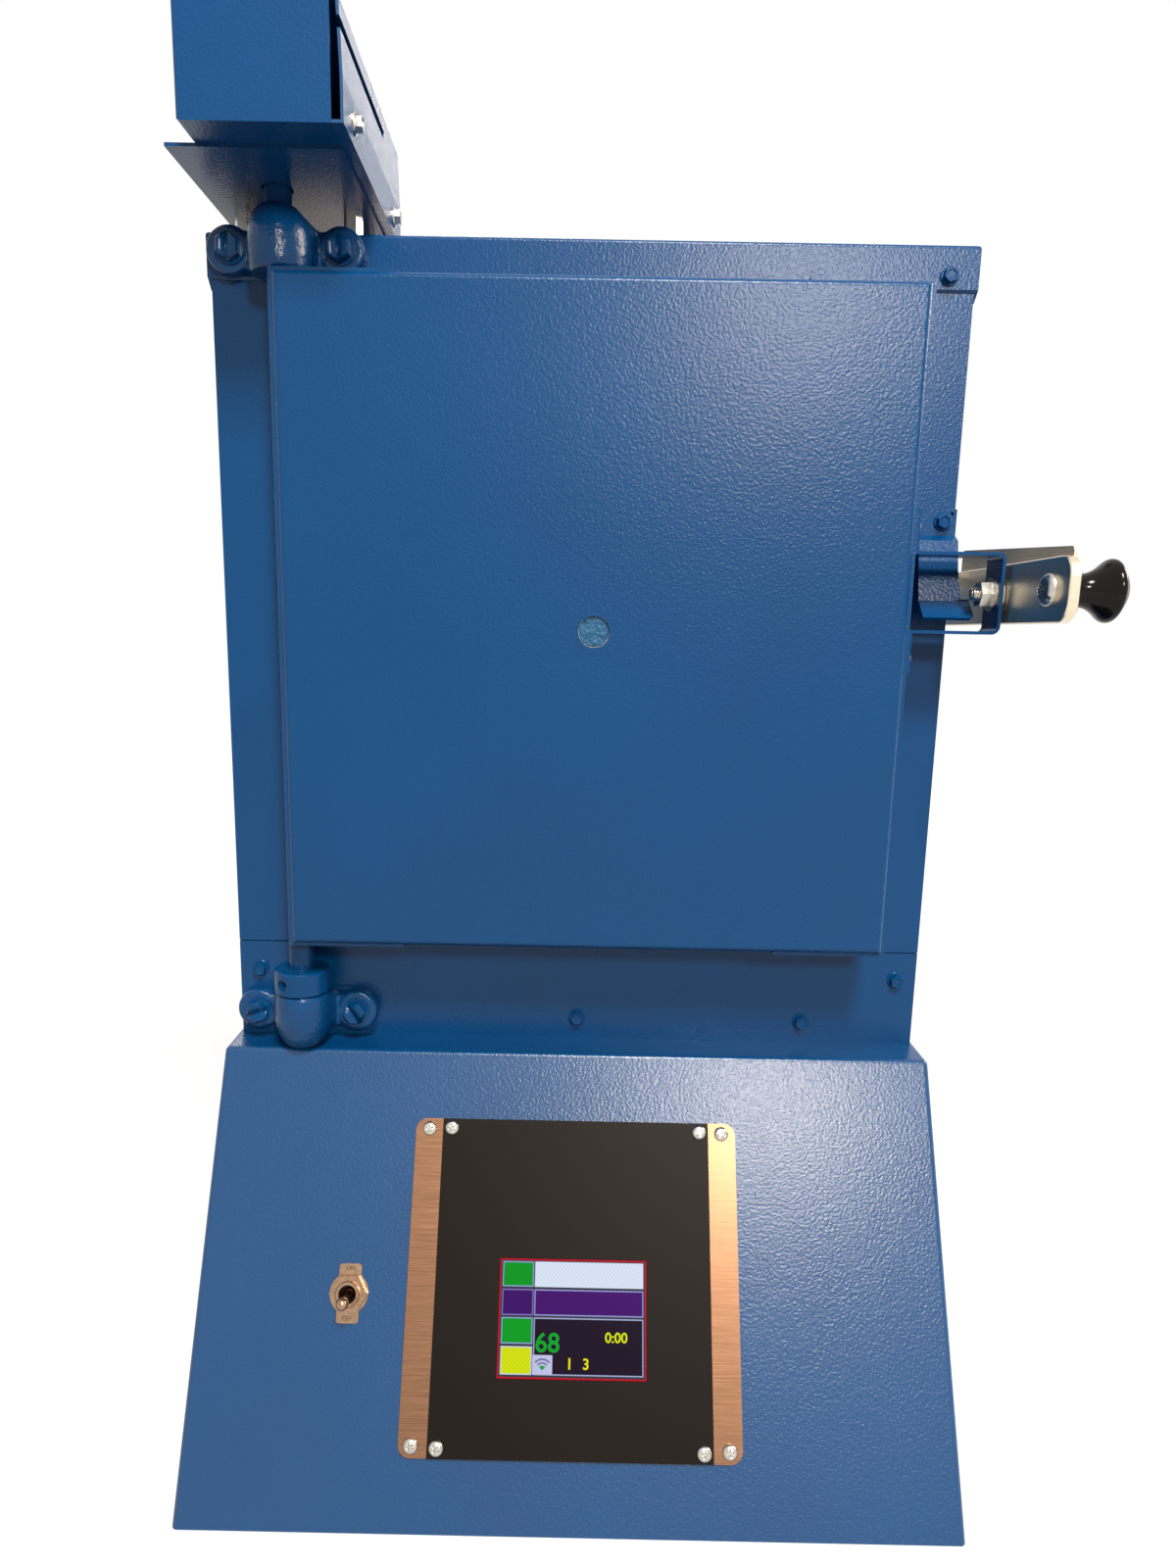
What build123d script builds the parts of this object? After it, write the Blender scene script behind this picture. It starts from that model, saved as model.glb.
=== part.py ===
from build123d import *
import math
import os

# Front-loading heat treating kiln on a sloped control box, in millimetres.
# X to the right seen from the front, Y into the kiln, Z up.
# The origin lies on the underside, below the middle of the case front.

# Sheets and clearances
sheet = 1.2
base_sheet = 1.5
rail_sheet = 2.0
seam = 0.3
running_fit = 0.05
moving_gap = 0.3

# Footprint of the kiln's case
case_width = 368.3
case_half = case_width / 2
case_depth = 483.0

# Control box under the case
base_lip = 3.1
base_half = case_half + base_lip
base_width = 2 * base_half
case_bottom = 198.0
ledge_depth = 21.6
panel_run = 100.0
panel_foot = ledge_depth + panel_run
bend = 3.0
tray_flange = 14.0

# Heights and folds of the case
case_height = 405.8
cap_top = case_bottom + case_height
cap_drop = 25.0
cap_lap = 0.3
wall_top = cap_top - sheet
band_height = 52.5
band_top = case_bottom + band_height
flange = 15.0

# Door
door_left = -case_half + 39.15
door_right = case_half - 31.35
door_low = band_top + 10.8
door_high = cap_top - cap_drop - 2.8
door_back = -6.0
door_thick = 32.0
door_face = door_back - door_thick
door_x = (door_left + door_right) / 2
door_z = (door_low + door_high) / 2
door_depth = door_back - door_face
pad_back = -3.0
frame_lap = 12.0
tab_end_left = door_left + 56.0
tab_end_right = door_right - 54.8
rail_front = door_face + 3.5
plug_radius = 7.25
plug_gap = 0.15
plug_recess = 0.8

# Firing chamber and brick
chamber_width = 140.0
chamber_height = 108.0
chamber_left = door_x - chamber_width / 2
chamber_right = door_x + chamber_width / 2
chamber_low = door_z - chamber_height / 2
chamber_high = door_z + chamber_height / 2
mouth_front = pad_back + moving_gap
brick_front = 2.5
rear_brick = 87.4
brick_back = case_depth - 2 * sheet - 0.2
chamber_back = brick_back - rear_brick
brick_half = case_half - sheet - seam
brick_top = wall_top - 2.6
window_left = door_left + 9.0
window_right = door_right - 8.8
window_low = door_low + 14.7
window_high = door_high - 15.0

# Heating elements
element_radius = 4.5
groove_inset = 2.2
element_pitch = 22.0
element_turn = element_pitch / 2
element_front = 45.0
element_rear = chamber_back - 20.0
element_tail = brick_back - 2.4

# Hinge rod, pillow blocks and collar
rod_radius = 6.35
rod_x = door_left - 1.0
rod_y = -17.5
notch_right = rod_x + rod_radius + moving_gap
notch_front = rod_y - rod_radius - 0.15
hub_radius = 14.5
hub_height = 29.0
block_seat = -1.5
foot_thick = 7.5
foot_length = 75.0
foot_height = 21.6
foot_front = block_seat - foot_thick
bolt_spacing = 52.0
bolt_radius = 3.175
bolt_head = 11.1
washer_thick = 1.2
lower_block = case_bottom + hub_height / 2 + 2.0
upper_block = cap_top - 10.1
rod_low = lower_block - hub_height / 2
collar_radius = 14.3
collar_low = lower_block + hub_height / 2 + seam
collar_high = collar_low + 12.7
collar_mid = (collar_low + collar_high) / 2

# Switch box on the cap
standoff_height = 12.2
plate_low = cap_top + standoff_height
plate_thick = 1.5
plate_top = plate_low + plate_thick
rod_high = plate_top + 18.5
box_left = rod_x - 24.0
box_width = 63.0
box_right = box_left + box_width
box_length = 134.0
box_front = rod_y - 59.5
box_back = box_front + box_length
box_height = 45.5
box_high = plate_top + box_height
cover_depth = 5.0
cover_face = box_right + cover_depth
cover_fold = plate_top + 17.5
cover_lean = 1.2
cable_slot = 4.5
cable_slot_low = box_high - 11.5

# Latch on the right of the door
latch_z = 440.0
latch_y = -24.5
rail_face = door_right + rail_sheet
strap_thick = 1.5
strap_width = 19.0
strap_clear = 13.85
strap_reach = case_half + strap_clear
strap_half = 19.1
strap_tab_half = 38.5
strap_screw = 31.0
strap_back = latch_y + strap_width / 2
pivot_radius = 3.175
nut_thick = 5.8
nut_face = strap_reach - 8.5
bolt_end = nut_face - 3.5
lever_thick = 4.8
lever_face = strap_reach + 1.9
lever_front = latch_y - 70.5
lever_half = 14.0
tail_top = latch_z + 6.0
guard_thick = 1.5
guard_face = lever_face + lever_thick
guard_out = guard_face + guard_thick
knob_y = lever_front + 17.0
post_y = 50.0
post_z = latch_z + 12.0
post_radius = 4.0
lever_back = post_y + 14.0

# Controller and power switch on the sloped panel
slope_angle = math.atan2(panel_foot - ledge_depth, case_bottom)
slope_sin = math.sin(slope_angle)
slope_cos = math.cos(slope_angle)
panel = Plane(
    origin=(0, -ledge_depth, case_bottom),
    x_dir=(1, 0, 0),
    z_dir=(0, -slope_cos, slope_sin),
)
face_mid = 0.2
face_width = 165.4
face_top = 34.1
face_low = 189.9
face_height = face_low - face_top
face_centre = (face_top + face_low) / 2
plate_sheet = 1.5
overlay_width = 137.4
overlay_sheet = 0.6
lcd_width = 73.0
lcd_height = 54.0
lcd_centre = 127.8
housing_half = 60.5
housing_height = 138.0
overlay_screws = [
    (overlay_width / 2 - 4.7, face_top + 4.5),
    (overlay_width / 2 - 4.5, face_low - 4.6),
]
steel_screws = [
    (face_width / 2 - 7.2, face_top + 5.1),
    (face_width / 2 - 6.2, face_low - 5.3),
]
toggle_x = -111.3
toggle_down = 118.5
toggle_tilt = 8.0
toggle_ball = 2.9

# Base: folded housing of the control box
inner_foot = -panel_foot + base_sheet / slope_cos
inner_slope = slope_sin / slope_cos
with BuildPart() as base_housing:
    with BuildSketch(Plane.YZ.offset(-base_half)):
        with BuildLine():
            Polyline(
                (-panel_foot, 0),
                (-ledge_depth, case_bottom),
                (case_depth, case_bottom),
                (case_depth, 0),
                close=True,
            )
        make_face()
    extrude(amount=base_width)
    fold = edges().filter_by(Axis.X).sort_by(Axis.Z)[-2:].sort_by(Axis.Y)[0:1]
    long_top = edges().filter_by(Axis.Y).sort_by(Axis.Z)[-2:]
    slants = edges().filter_by(lambda e: abs(e.tangent_at(0.5).Y) > 0.1 and abs(e.tangent_at(0.5).Z) > 0.1)
    fillet(fold + long_top + slants, radius=bend)
    with BuildSketch(Plane.YZ.offset(base_sheet - base_half)):
        with BuildLine():
            Polyline(
                (inner_foot - 5 * inner_slope, -5),
                (inner_foot + (case_bottom - base_sheet) * inner_slope, case_bottom - base_sheet),
                (case_depth + 5, case_bottom - base_sheet),
                (case_depth + 5, -5),
                close=True,
            )
        make_face()
    extrude(amount=base_width - 2 * base_sheet, mode=Mode.SUBTRACT)
    # Cut-outs for the controller, its screws and the power switch
    with BuildSketch(panel):
        with Locations((face_mid, -face_centre)):
            Rectangle(2 * housing_half + 1, housing_height + 1)
        with Locations((toggle_x, -toggle_down)):
            Circle(6.3)
        for x, down in overlay_screws + steel_screws:
            with Locations((face_mid - x, -down), (face_mid + x, -down)):
                Circle(1.9)
    extrude(amount=-10, mode=Mode.SUBTRACT)
    # Cooling slots low on both sides
    with BuildSketch(Plane.YZ.offset(-base_half)):
        with Locations((case_depth - 153, 90)):
            with GridLocations(14, 1, 10, 1):
                SlotOverall(46, 5, rotation=90)
    extrude(amount=base_width, mode=Mode.SUBTRACT)
base_housing.part.label = "base_housing"

flange_front = -panel_foot + 31.6
flange_back = case_depth - 13.0
with BuildPart() as base_bottom:
    with BuildSketch():
        with BuildLine():
            Polyline(
                (base_sheet - base_half, inner_foot + base_sheet * inner_slope + 0.1),
                (base_half - base_sheet, inner_foot + base_sheet * inner_slope + 0.1),
                (base_half - base_sheet, case_depth),
                (base_sheet - base_half, case_depth),
                close=True,
            )
        make_face()
    extrude(amount=base_sheet)
    with BuildSketch(Plane.XY.offset(base_sheet)):
        for side in (-1, 1):
            with Locations((side * (base_half - 1.5 * base_sheet), (flange_front + flange_back) / 2)):
                Rectangle(base_sheet, flange_back - flange_front)
    extrude(amount=tray_flange)
    with BuildSketch():
        with Locations((90, case_depth - 153), (-90, case_depth - 153)):
            with GridLocations(14, 1, 7, 1):
                SlotOverall(60, 5, rotation=90)
    extrude(amount=base_sheet, mode=Mode.SUBTRACT)
base_bottom.part.label = "base_bottom"

inlet_x = base_half - 67.25
inlet_z = 60.0
with BuildPart() as base_back:
    with BuildSketch(Plane.XZ.offset(-case_depth)):
        with BuildLine():
            Polyline(
                (base_sheet - base_half, base_sheet),
                (base_half - base_sheet, base_sheet),
                (base_half - base_sheet, case_bottom - base_sheet),
                (base_sheet - base_half, case_bottom - base_sheet),
                close=True,
            )
        make_face()
        with Locations((inlet_x, inlet_z)):
            Rectangle(32, 26, mode=Mode.SUBTRACT)
        with Locations((-60, 110)):
            with GridLocations(16, 1, 10, 1):
                SlotOverall(70, 5, rotation=90, mode=Mode.SUBTRACT)
    extrude(amount=base_sheet)
base_back.part.label = "base_back"

with BuildPart() as power_inlet:
    with BuildSketch(Plane.XZ.offset(-case_depth)):
        with Locations((inlet_x, inlet_z)):
            RectangleRounded(50, 34, 4)
    extrude(amount=-3)
    with BuildSketch(Plane.XZ.offset(-case_depth)):
        with Locations((inlet_x, inlet_z)):
            Rectangle(31.4, 25.4)
    extrude(amount=26)
    with BuildSketch(Plane.XZ.offset(-case_depth - 3)):
        with Locations((inlet_x, inlet_z)):
            RectangleRounded(26, 19, 3)
    extrude(amount=20, mode=Mode.SUBTRACT)
    with BuildSketch(Plane.XZ.offset(-case_depth + 17)):
        with Locations((inlet_x - 7, inlet_z - 2), (inlet_x + 7, inlet_z - 2), (inlet_x, inlet_z + 4)):
            Rectangle(2, 5)
    extrude(amount=-14)
power_inlet.part.label = "power_inlet"

with BuildPart() as power_relays:
    for x in (-base_half + 77.25, -base_half + 147.25):
        with BuildSketch(Plane.XY.offset(base_sheet)):
            with Locations((x, case_depth - 63)):
                Rectangle(50, 32)
        extrude(amount=36)
        with BuildSketch(Plane.XY.offset(base_sheet + 36)):
            with Locations((x, case_depth - 63)):
                with GridLocations(14, 16, 3, 2):
                    Rectangle(6, 0.8)
        extrude(amount=8)
power_relays.part.label = "power_relays"

# Case: front sheet, lower band, sides, back and cap
pillow_bolts = [
    (rod_x - bolt_spacing / 2, lower_block),
    (rod_x + bolt_spacing / 2, lower_block),
    (rod_x - bolt_spacing / 2, upper_block),
    (rod_x + bolt_spacing / 2, upper_block),
]
edge_screw = case_half - 10.95
band_screws = [
    (-edge_screw, band_top - 15.3),
    (edge_screw, band_top - 15.3),
    (0, case_bottom + 12.3),
    (123, case_bottom + 12.3),
]
bracket_screw = (case_half - 6.45, latch_z + 36.0)
cap_screw = (edge_screw - 2.0, cap_top - 14.3)
box_screw_places = [(box_front + 20.3, plate_top + 8.9), (box_back - 20.5, plate_top + 7.7)]

with BuildPart() as case_front:
    with BuildSketch(Plane.XZ.offset(-sheet)):
        with BuildLine():
            Polyline(
                (-case_half, band_top + seam),
                (case_half, band_top + seam),
                (case_half, wall_top),
                (-case_half, wall_top),
                close=True,
            )
        make_face()
        with Locations(((window_left + window_right) / 2, (window_low + window_high) / 2)):
            Rectangle(
                window_right - window_left + 2 * seam,
                window_high - window_low + 2 * seam,
                mode=Mode.SUBTRACT,
            )
        with Locations(*pillow_bolts[2:]):
            Circle(bolt_radius + 0.4, mode=Mode.SUBTRACT)
        with Locations(bracket_screw, cap_screw):
            Circle(2.1, mode=Mode.SUBTRACT)
    extrude(amount=sheet)
case_front.part.label = "case_front"

with BuildPart() as case_lower_band:
    with BuildSketch(Plane.XZ.offset(-sheet)):
        with Locations((0, (case_bottom + band_top - seam) / 2)):
            Rectangle(case_width, band_top - seam - case_bottom)
        with Locations(*pillow_bolts[:2]):
            Circle(bolt_radius + 0.4, mode=Mode.SUBTRACT)
        with Locations(*band_screws):
            Circle(2.1, mode=Mode.SUBTRACT)
    extrude(amount=sheet)
case_lower_band.part.label = "case_lower_band"

with BuildPart() as case_left_side:
    with BuildSketch(Plane.XY.offset(case_bottom)):
        with BuildLine():
            Polyline(
                (-case_half, sheet),
                (-case_half + flange, sheet),
                (-case_half + flange, 2 * sheet),
                (-case_half + sheet, 2 * sheet),
                (-case_half + sheet, case_depth - 2 * sheet),
                (-case_half + flange, case_depth - 2 * sheet),
                (-case_half + flange, case_depth - sheet),
                (-case_half, case_depth - sheet),
                close=True,
            )
        make_face()
    extrude(amount=wall_top - case_bottom)
    with BuildSketch(Plane.XZ.offset(-3 * sheet)):
        with Locations(pillow_bolts[0], pillow_bolts[2]):
            Circle(bolt_radius + 0.4)
        with Locations(band_screws[0]):
            Circle(2.1)
    extrude(amount=3 * sheet, mode=Mode.SUBTRACT)
case_left_side.part.label = "case_left_side"

with BuildPart() as case_right_side:
    with BuildSketch(Plane.XY.offset(case_bottom)):
        with BuildLine():
            Polyline(
                (case_half, sheet),
                (case_half - flange, sheet),
                (case_half - flange, 2 * sheet),
                (case_half - sheet, 2 * sheet),
                (case_half - sheet, case_depth - 2 * sheet),
                (case_half - flange, case_depth - 2 * sheet),
                (case_half - flange, case_depth - sheet),
                (case_half, case_depth - sheet),
                close=True,
            )
        make_face()
    extrude(amount=wall_top - case_bottom)
    with BuildSketch(Plane.XZ.offset(-3 * sheet)):
        with Locations(band_screws[1], bracket_screw, cap_screw):
            Circle(2.1)
    extrude(amount=3 * sheet, mode=Mode.SUBTRACT)
    with BuildSketch(Plane.YZ.offset(case_half - 2 * sheet)):
        with Locations((post_y, post_z)):
            Circle(2.6)
    extrude(amount=3 * sheet, mode=Mode.SUBTRACT)
case_right_side.part.label = "case_right_side"

back_screw = case_half - 8.15
back_screws = [
    (-back_screw, case_bottom + 32.0),
    (-back_screw, wall_top - 82.6),
    (back_screw, case_bottom + 32.0),
    (back_screw, wall_top - 82.6),
]
with BuildPart() as case_back:
    with BuildSketch(Plane.XZ.offset(-case_depth)):
        with Locations((0, (case_bottom + wall_top) / 2)):
            Rectangle(case_width, wall_top - case_bottom)
        with Locations((0, case_bottom + 42.0), (0, wall_top - 42.6)):
            with GridLocations(18, 1, 12, 1):
                SlotOverall(40, 5, rotation=90, mode=Mode.SUBTRACT)
    extrude(amount=sheet)
case_back.part.label = "case_back"

cap_half = case_half + cap_lap + sheet
cap_front = -cap_lap - sheet
cap_back = case_depth + cap_lap + sheet
with BuildPart() as case_cap:
    with BuildSketch(Plane.XY.offset(cap_top - cap_drop)):
        with Locations((0, (cap_front + cap_back) / 2)):
            Rectangle(2 * cap_half, cap_back - cap_front)
    extrude(amount=cap_drop)
    fillet(edges().group_by(Axis.Z)[-1], radius=2)
    with BuildSketch(Plane.XY.offset(cap_top - cap_drop)):
        with Locations((0, (cap_front + cap_back) / 2)):
            Rectangle(2 * (cap_half - sheet), cap_back - cap_front - 2 * sheet)
    extrude(amount=cap_drop - sheet, mode=Mode.SUBTRACT)
    # Clipped lower corners of the side flaps
    with BuildSketch(Plane.YZ.offset(-cap_half)):
        for y in (cap_front, cap_back):
            with Locations((y, cap_top - cap_drop)):
                Rectangle(7, 7, rotation=45)
    extrude(amount=2 * cap_half, mode=Mode.SUBTRACT)
    with BuildSketch(Plane.XZ):
        with Locations(*pillow_bolts[2:]):
            Circle(bolt_radius + 0.4)
        with Locations(cap_screw):
            Circle(2.1)
    extrude(amount=3, mode=Mode.SUBTRACT)
case_cap.part.label = "case_cap"

# Hex washer screws of the sheets, a group
with BuildPart() as sheet_screws:
    with BuildSketch(Plane.XZ):
        with Locations(*band_screws):
            Circle(4.6)
    extrude(amount=0.9)
    with BuildSketch(Plane.XZ.offset(0.9)):
        with Locations(*band_screws):
            RegularPolygon(3.18, 6, major_radius=False)
    extrude(amount=2.9)
    with BuildSketch(Plane.XZ.offset(-2 * sheet)):
        with Locations(*band_screws):
            Circle(2.1)
    extrude(amount=2 * sheet)
    # Screw through the cap's front flange
    with BuildSketch(Plane.XZ.offset(-cap_front)):
        with Locations(cap_screw):
            Circle(4.6)
    extrude(amount=0.9)
    with BuildSketch(Plane.XZ.offset(-cap_front + 0.9)):
        with Locations(cap_screw):
            RegularPolygon(3.18, 6, major_radius=False)
    extrude(amount=2.9)
    with BuildSketch(Plane.XZ.offset(-2 * sheet)):
        with Locations(cap_screw):
            Circle(2.1)
    extrude(amount=2 * sheet - cap_front)
    # Screws of the back sheet
    with BuildSketch(Plane.XZ.offset(-case_depth)):
        with Locations(*back_screws):
            Circle(4.6)
    extrude(amount=-0.9)
    with BuildSketch(Plane.XZ.offset(-case_depth - 0.9)):
        with Locations(*back_screws):
            RegularPolygon(3.18, 6, major_radius=False)
    extrude(amount=-2.9)
    # Screw of the guide bracket
    with BuildSketch(Plane.XZ.offset(1.5)):
        with Locations(bracket_screw):
            Circle(4.4)
    extrude(amount=0.9)
    with BuildSketch(Plane.XZ.offset(2.4)):
        with Locations(bracket_screw):
            RegularPolygon(3.18, 6, major_radius=False)
    extrude(amount=2.9)
    with BuildSketch(Plane.XZ.offset(-2 * sheet)):
        with Locations(bracket_screw):
            Circle(2.1)
    extrude(amount=2 * sheet + 1.5)
sheet_screws.part.label = "sheet_screws"

# Grooved side bricks and the elements that lie in them
def element_path(x):
    rise = 1.5 * element_pitch
    half = 0.5 * element_pitch
    Polyline((x, element_tail, door_z + rise), (x, element_front, door_z + rise))
    ThreePointArc(
        (x, element_front, door_z + rise),
        (x, element_front - element_turn, door_z + element_pitch),
        (x, element_front, door_z + half),
    )
    Polyline((x, element_front, door_z + half), (x, element_rear, door_z + half))
    ThreePointArc(
        (x, element_rear, door_z + half),
        (x, element_rear + element_turn, door_z),
        (x, element_rear, door_z - half),
    )
    Polyline((x, element_rear, door_z - half), (x, element_front, door_z - half))
    ThreePointArc(
        (x, element_front, door_z - half),
        (x, element_front - element_turn, door_z - element_pitch),
        (x, element_front, door_z - rise),
    )
    Polyline((x, element_front, door_z - rise), (x, element_tail, door_z - rise))


with BuildPart() as brick_left:
    with BuildSketch(Plane.XY.offset(case_bottom)):
        with Locations(((-brick_half + chamber_left) / 2, (brick_front + chamber_back) / 2)):
            Rectangle(chamber_left + brick_half, chamber_back - brick_front)
    extrude(amount=brick_top - case_bottom)
    with BuildSketch(Plane.XY.offset(window_low)):
        with Locations(((window_left + chamber_left) / 2, (mouth_front + brick_front) / 2)):
            Rectangle(chamber_left - window_left, brick_front - mouth_front)
    extrude(amount=window_high - window_low)
    with BuildLine() as left_groove:
        element_path(chamber_left - groove_inset)
    with BuildSketch(Plane(origin=left_groove.line @ 0, z_dir=left_groove.line % 0)):
        Circle(element_radius)
    sweep(path=left_groove.line, mode=Mode.SUBTRACT)
    # Pockets behind the pillow block bolts
    with BuildSketch(Plane.XZ.offset(-brick_front)):
        with Locations(*pillow_bolts):
            Circle(6)
    extrude(amount=-12, mode=Mode.SUBTRACT)
brick_left.part.label = "brick_left"

with BuildPart() as brick_right:
    with BuildSketch(Plane.XY.offset(case_bottom)):
        with Locations(((brick_half + chamber_right) / 2, (brick_front + chamber_back) / 2)):
            Rectangle(brick_half - chamber_right, chamber_back - brick_front)
    extrude(amount=brick_top - case_bottom)
    with BuildSketch(Plane.XY.offset(window_low)):
        with Locations(((window_right + chamber_right) / 2, (mouth_front + brick_front) / 2)):
            Rectangle(window_right - chamber_right, brick_front - mouth_front)
    extrude(amount=window_high - window_low)
    with BuildLine() as right_groove:
        element_path(chamber_right + groove_inset)
    with BuildSketch(Plane(origin=right_groove.line @ 0, z_dir=right_groove.line % 0)):
        Circle(element_radius)
    sweep(path=right_groove.line, mode=Mode.SUBTRACT)
brick_right.part.label = "brick_right"

with BuildPart() as heating_elements:
    with BuildLine() as left_wire:
        element_path(chamber_left - groove_inset)
    with BuildSketch(Plane(origin=left_wire.line @ 0, z_dir=left_wire.line % 0)):
        Circle(element_radius)
    sweep(path=left_wire.line)
    with BuildLine() as right_wire:
        element_path(chamber_right + groove_inset)
    with BuildSketch(Plane(origin=right_wire.line @ 0, z_dir=right_wire.line % 0)):
        Circle(element_radius)
    sweep(path=right_wire.line)
heating_elements.part.label = "heating_elements"

with BuildPart() as brick_floor:
    with BuildSketch(Plane.YZ.offset(chamber_left)):
        with BuildLine():
            Polyline(
                (brick_front, case_bottom),
                (chamber_back, case_bottom),
                (chamber_back, chamber_low),
                (mouth_front, chamber_low),
                (mouth_front, window_low),
                (brick_front, window_low),
                close=True,
            )
        make_face()
    extrude(amount=chamber_width)
brick_floor.part.label = "brick_floor"

with BuildPart() as brick_roof:
    with BuildSketch(Plane.YZ.offset(chamber_left)):
        with BuildLine():
            Polyline(
                (brick_front, brick_top),
                (chamber_back, brick_top),
                (chamber_back, chamber_high),
                (mouth_front, chamber_high),
                (mouth_front, window_high),
                (brick_front, window_high),
                close=True,
            )
        make_face()
    extrude(amount=chamber_width)
brick_roof.part.label = "brick_roof"

probe_z = door_z + 30
with BuildPart() as brick_rear:
    with BuildSketch(Plane.XY.offset(case_bottom)):
        with Locations((0, (chamber_back + brick_back) / 2)):
            Rectangle(2 * brick_half, brick_back - chamber_back)
    extrude(amount=brick_top - case_bottom)
    with BuildSketch(Plane.XZ.offset(-brick_back)):
        for x in (chamber_left - groove_inset, chamber_right + groove_inset):
            for rise in (-1.5 * element_pitch, 1.5 * element_pitch):
                with Locations((x, door_z + rise)):
                    Circle(element_radius)
        with Locations((door_x, probe_z)):
            Circle(3.2)
    extrude(amount=brick_back - chamber_back, mode=Mode.SUBTRACT)
brick_rear.part.label = "brick_rear"

with BuildPart() as thermocouple:
    with BuildSketch(Plane.XZ.offset(-brick_back)):
        with Locations((door_x, probe_z)):
            Circle(3.2)
    extrude(amount=brick_back - chamber_back + 35)
    fillet(edges().sort_by(Axis.Y)[0], radius=2.5)
thermocouple.part.label = "thermocouple"

# Door: folded pan, side rails with corner tabs, brick and its retaining frame
strap_screws_z = [latch_z - strap_screw, latch_z + strap_screw]
with BuildPart() as door_pan:
    with BuildSketch(Plane.XZ.offset(-door_back)):
        with Locations((door_x, door_z)):
            Rectangle(door_right - door_left, door_high - door_low)
    extrude(amount=door_depth)
    fillet(edges().filter_by(Axis.Y), radius=1)
    fillet(edges().group_by(Axis.Y)[0], radius=bend)
    with BuildSketch(Plane.XZ.offset(-door_back - 1)):
        with Locations((door_x, door_z)):
            Rectangle(door_right - door_left - 2 * sheet, door_high - door_low - 2 * sheet)
    extrude(amount=door_depth - sheet + 1, mode=Mode.SUBTRACT)
    # Open left edge around the hinge rod
    with BuildSketch(Plane.XY.offset(door_low - 5)):
        with BuildLine():
            Polyline(
                (door_left - 5, notch_front),
                (notch_right, notch_front),
                (notch_right, door_back + 5),
                (door_left - 5, door_back + 5),
                close=True,
            )
        make_face()
    extrude(amount=door_high - door_low + 10, mode=Mode.SUBTRACT)
    with BuildSketch(Plane.XZ.offset(-door_face - 3)):
        with Locations((door_x, door_z)):
            Circle(plug_radius + plug_gap)
    extrude(amount=5, mode=Mode.SUBTRACT)
    with BuildSketch(Plane.YZ.offset(door_right - 2 * sheet)):
        with Locations(*[(latch_y, z) for z in strap_screws_z]):
            Circle(2.1)
    extrude(amount=5, mode=Mode.SUBTRACT)
door_pan.part.label = "door_pan"

rail_low = door_low - rail_sheet
rail_high = door_high + rail_sheet
bead_places = [door_low + 5, door_low + 80, door_z, door_high - 80, door_high - 5]
with BuildPart() as door_rail_left:
    with BuildSketch(Plane.XZ.offset(-door_back)):
        with BuildLine():
            Polyline(
                (door_left - rail_sheet, rail_low),
                (tab_end_left, rail_low),
                (tab_end_left, door_low),
                (door_left, door_low),
                (door_left, door_high),
                (tab_end_left, door_high),
                (tab_end_left, rail_high),
                (door_left - rail_sheet, rail_high),
                close=True,
            )
        make_face()
    extrude(amount=door_back - rail_front)
    with BuildSketch(Plane.XY.offset(rail_low - 5)):
        with BuildLine():
            Polyline(
                (door_left - 5, rod_y),
                (rod_x, rod_y),
                (rod_x, notch_front),
                (notch_right, notch_front),
                (notch_right, door_back + 5),
                (door_left - 5, door_back + 5),
                close=True,
            )
        make_face()
    extrude(amount=rail_high - rail_low + 10, mode=Mode.SUBTRACT)
    # Weld beads that join the rail to the rod
    for z in bead_places:
        with Locations((door_left - rail_sheet - 0.6, notch_front - 0.6, z)):
            Cylinder(radius=2.2, height=8)
            with Locations((0, 0, -4), (0, 0, 4)):
                Sphere(radius=2.2)
    with Locations((rod_x, rod_y, door_z)):
        Cylinder(radius=rod_radius, height=rail_high - rail_low + 20, mode=Mode.SUBTRACT)
    with BuildSketch(Plane.XY.offset(rail_low - 5)):
        with BuildLine():
            Polyline(
                (door_left, rail_front - 5),
                (notch_right, rail_front - 5),
                (notch_right, door_back + 5),
                (door_left, door_back + 5),
                close=True,
            )
        make_face()
        with BuildLine():
            Polyline(
                (door_left, rail_front - 5),
                (notch_right, rail_front - 5),
                (notch_right, notch_front),
                (door_left, notch_front),
                close=True,
            )
        make_face(mode=Mode.SUBTRACT)
    extrude(amount=rail_high - rail_low + 10, mode=Mode.SUBTRACT)
door_rail_left.part.label = "door_rail_left"

with BuildPart() as door_rail_right:
    with BuildSketch(Plane.XZ.offset(-door_back)):
        with BuildLine():
            Polyline(
                (rail_face, rail_low),
                (tab_end_right, rail_low),
                (tab_end_right, door_low),
                (door_right, door_low),
                (door_right, door_high),
                (tab_end_right, door_high),
                (tab_end_right, rail_high),
                (rail_face, rail_high),
                close=True,
            )
        make_face()
    extrude(amount=door_back - rail_front)
    with BuildSketch(Plane.YZ.offset(door_right - 2)):
        with Locations(*[(latch_y, z) for z in strap_screws_z]):
            Circle(2.1)
    extrude(amount=8, mode=Mode.SUBTRACT)
door_rail_right.part.label = "door_rail_right"

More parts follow.
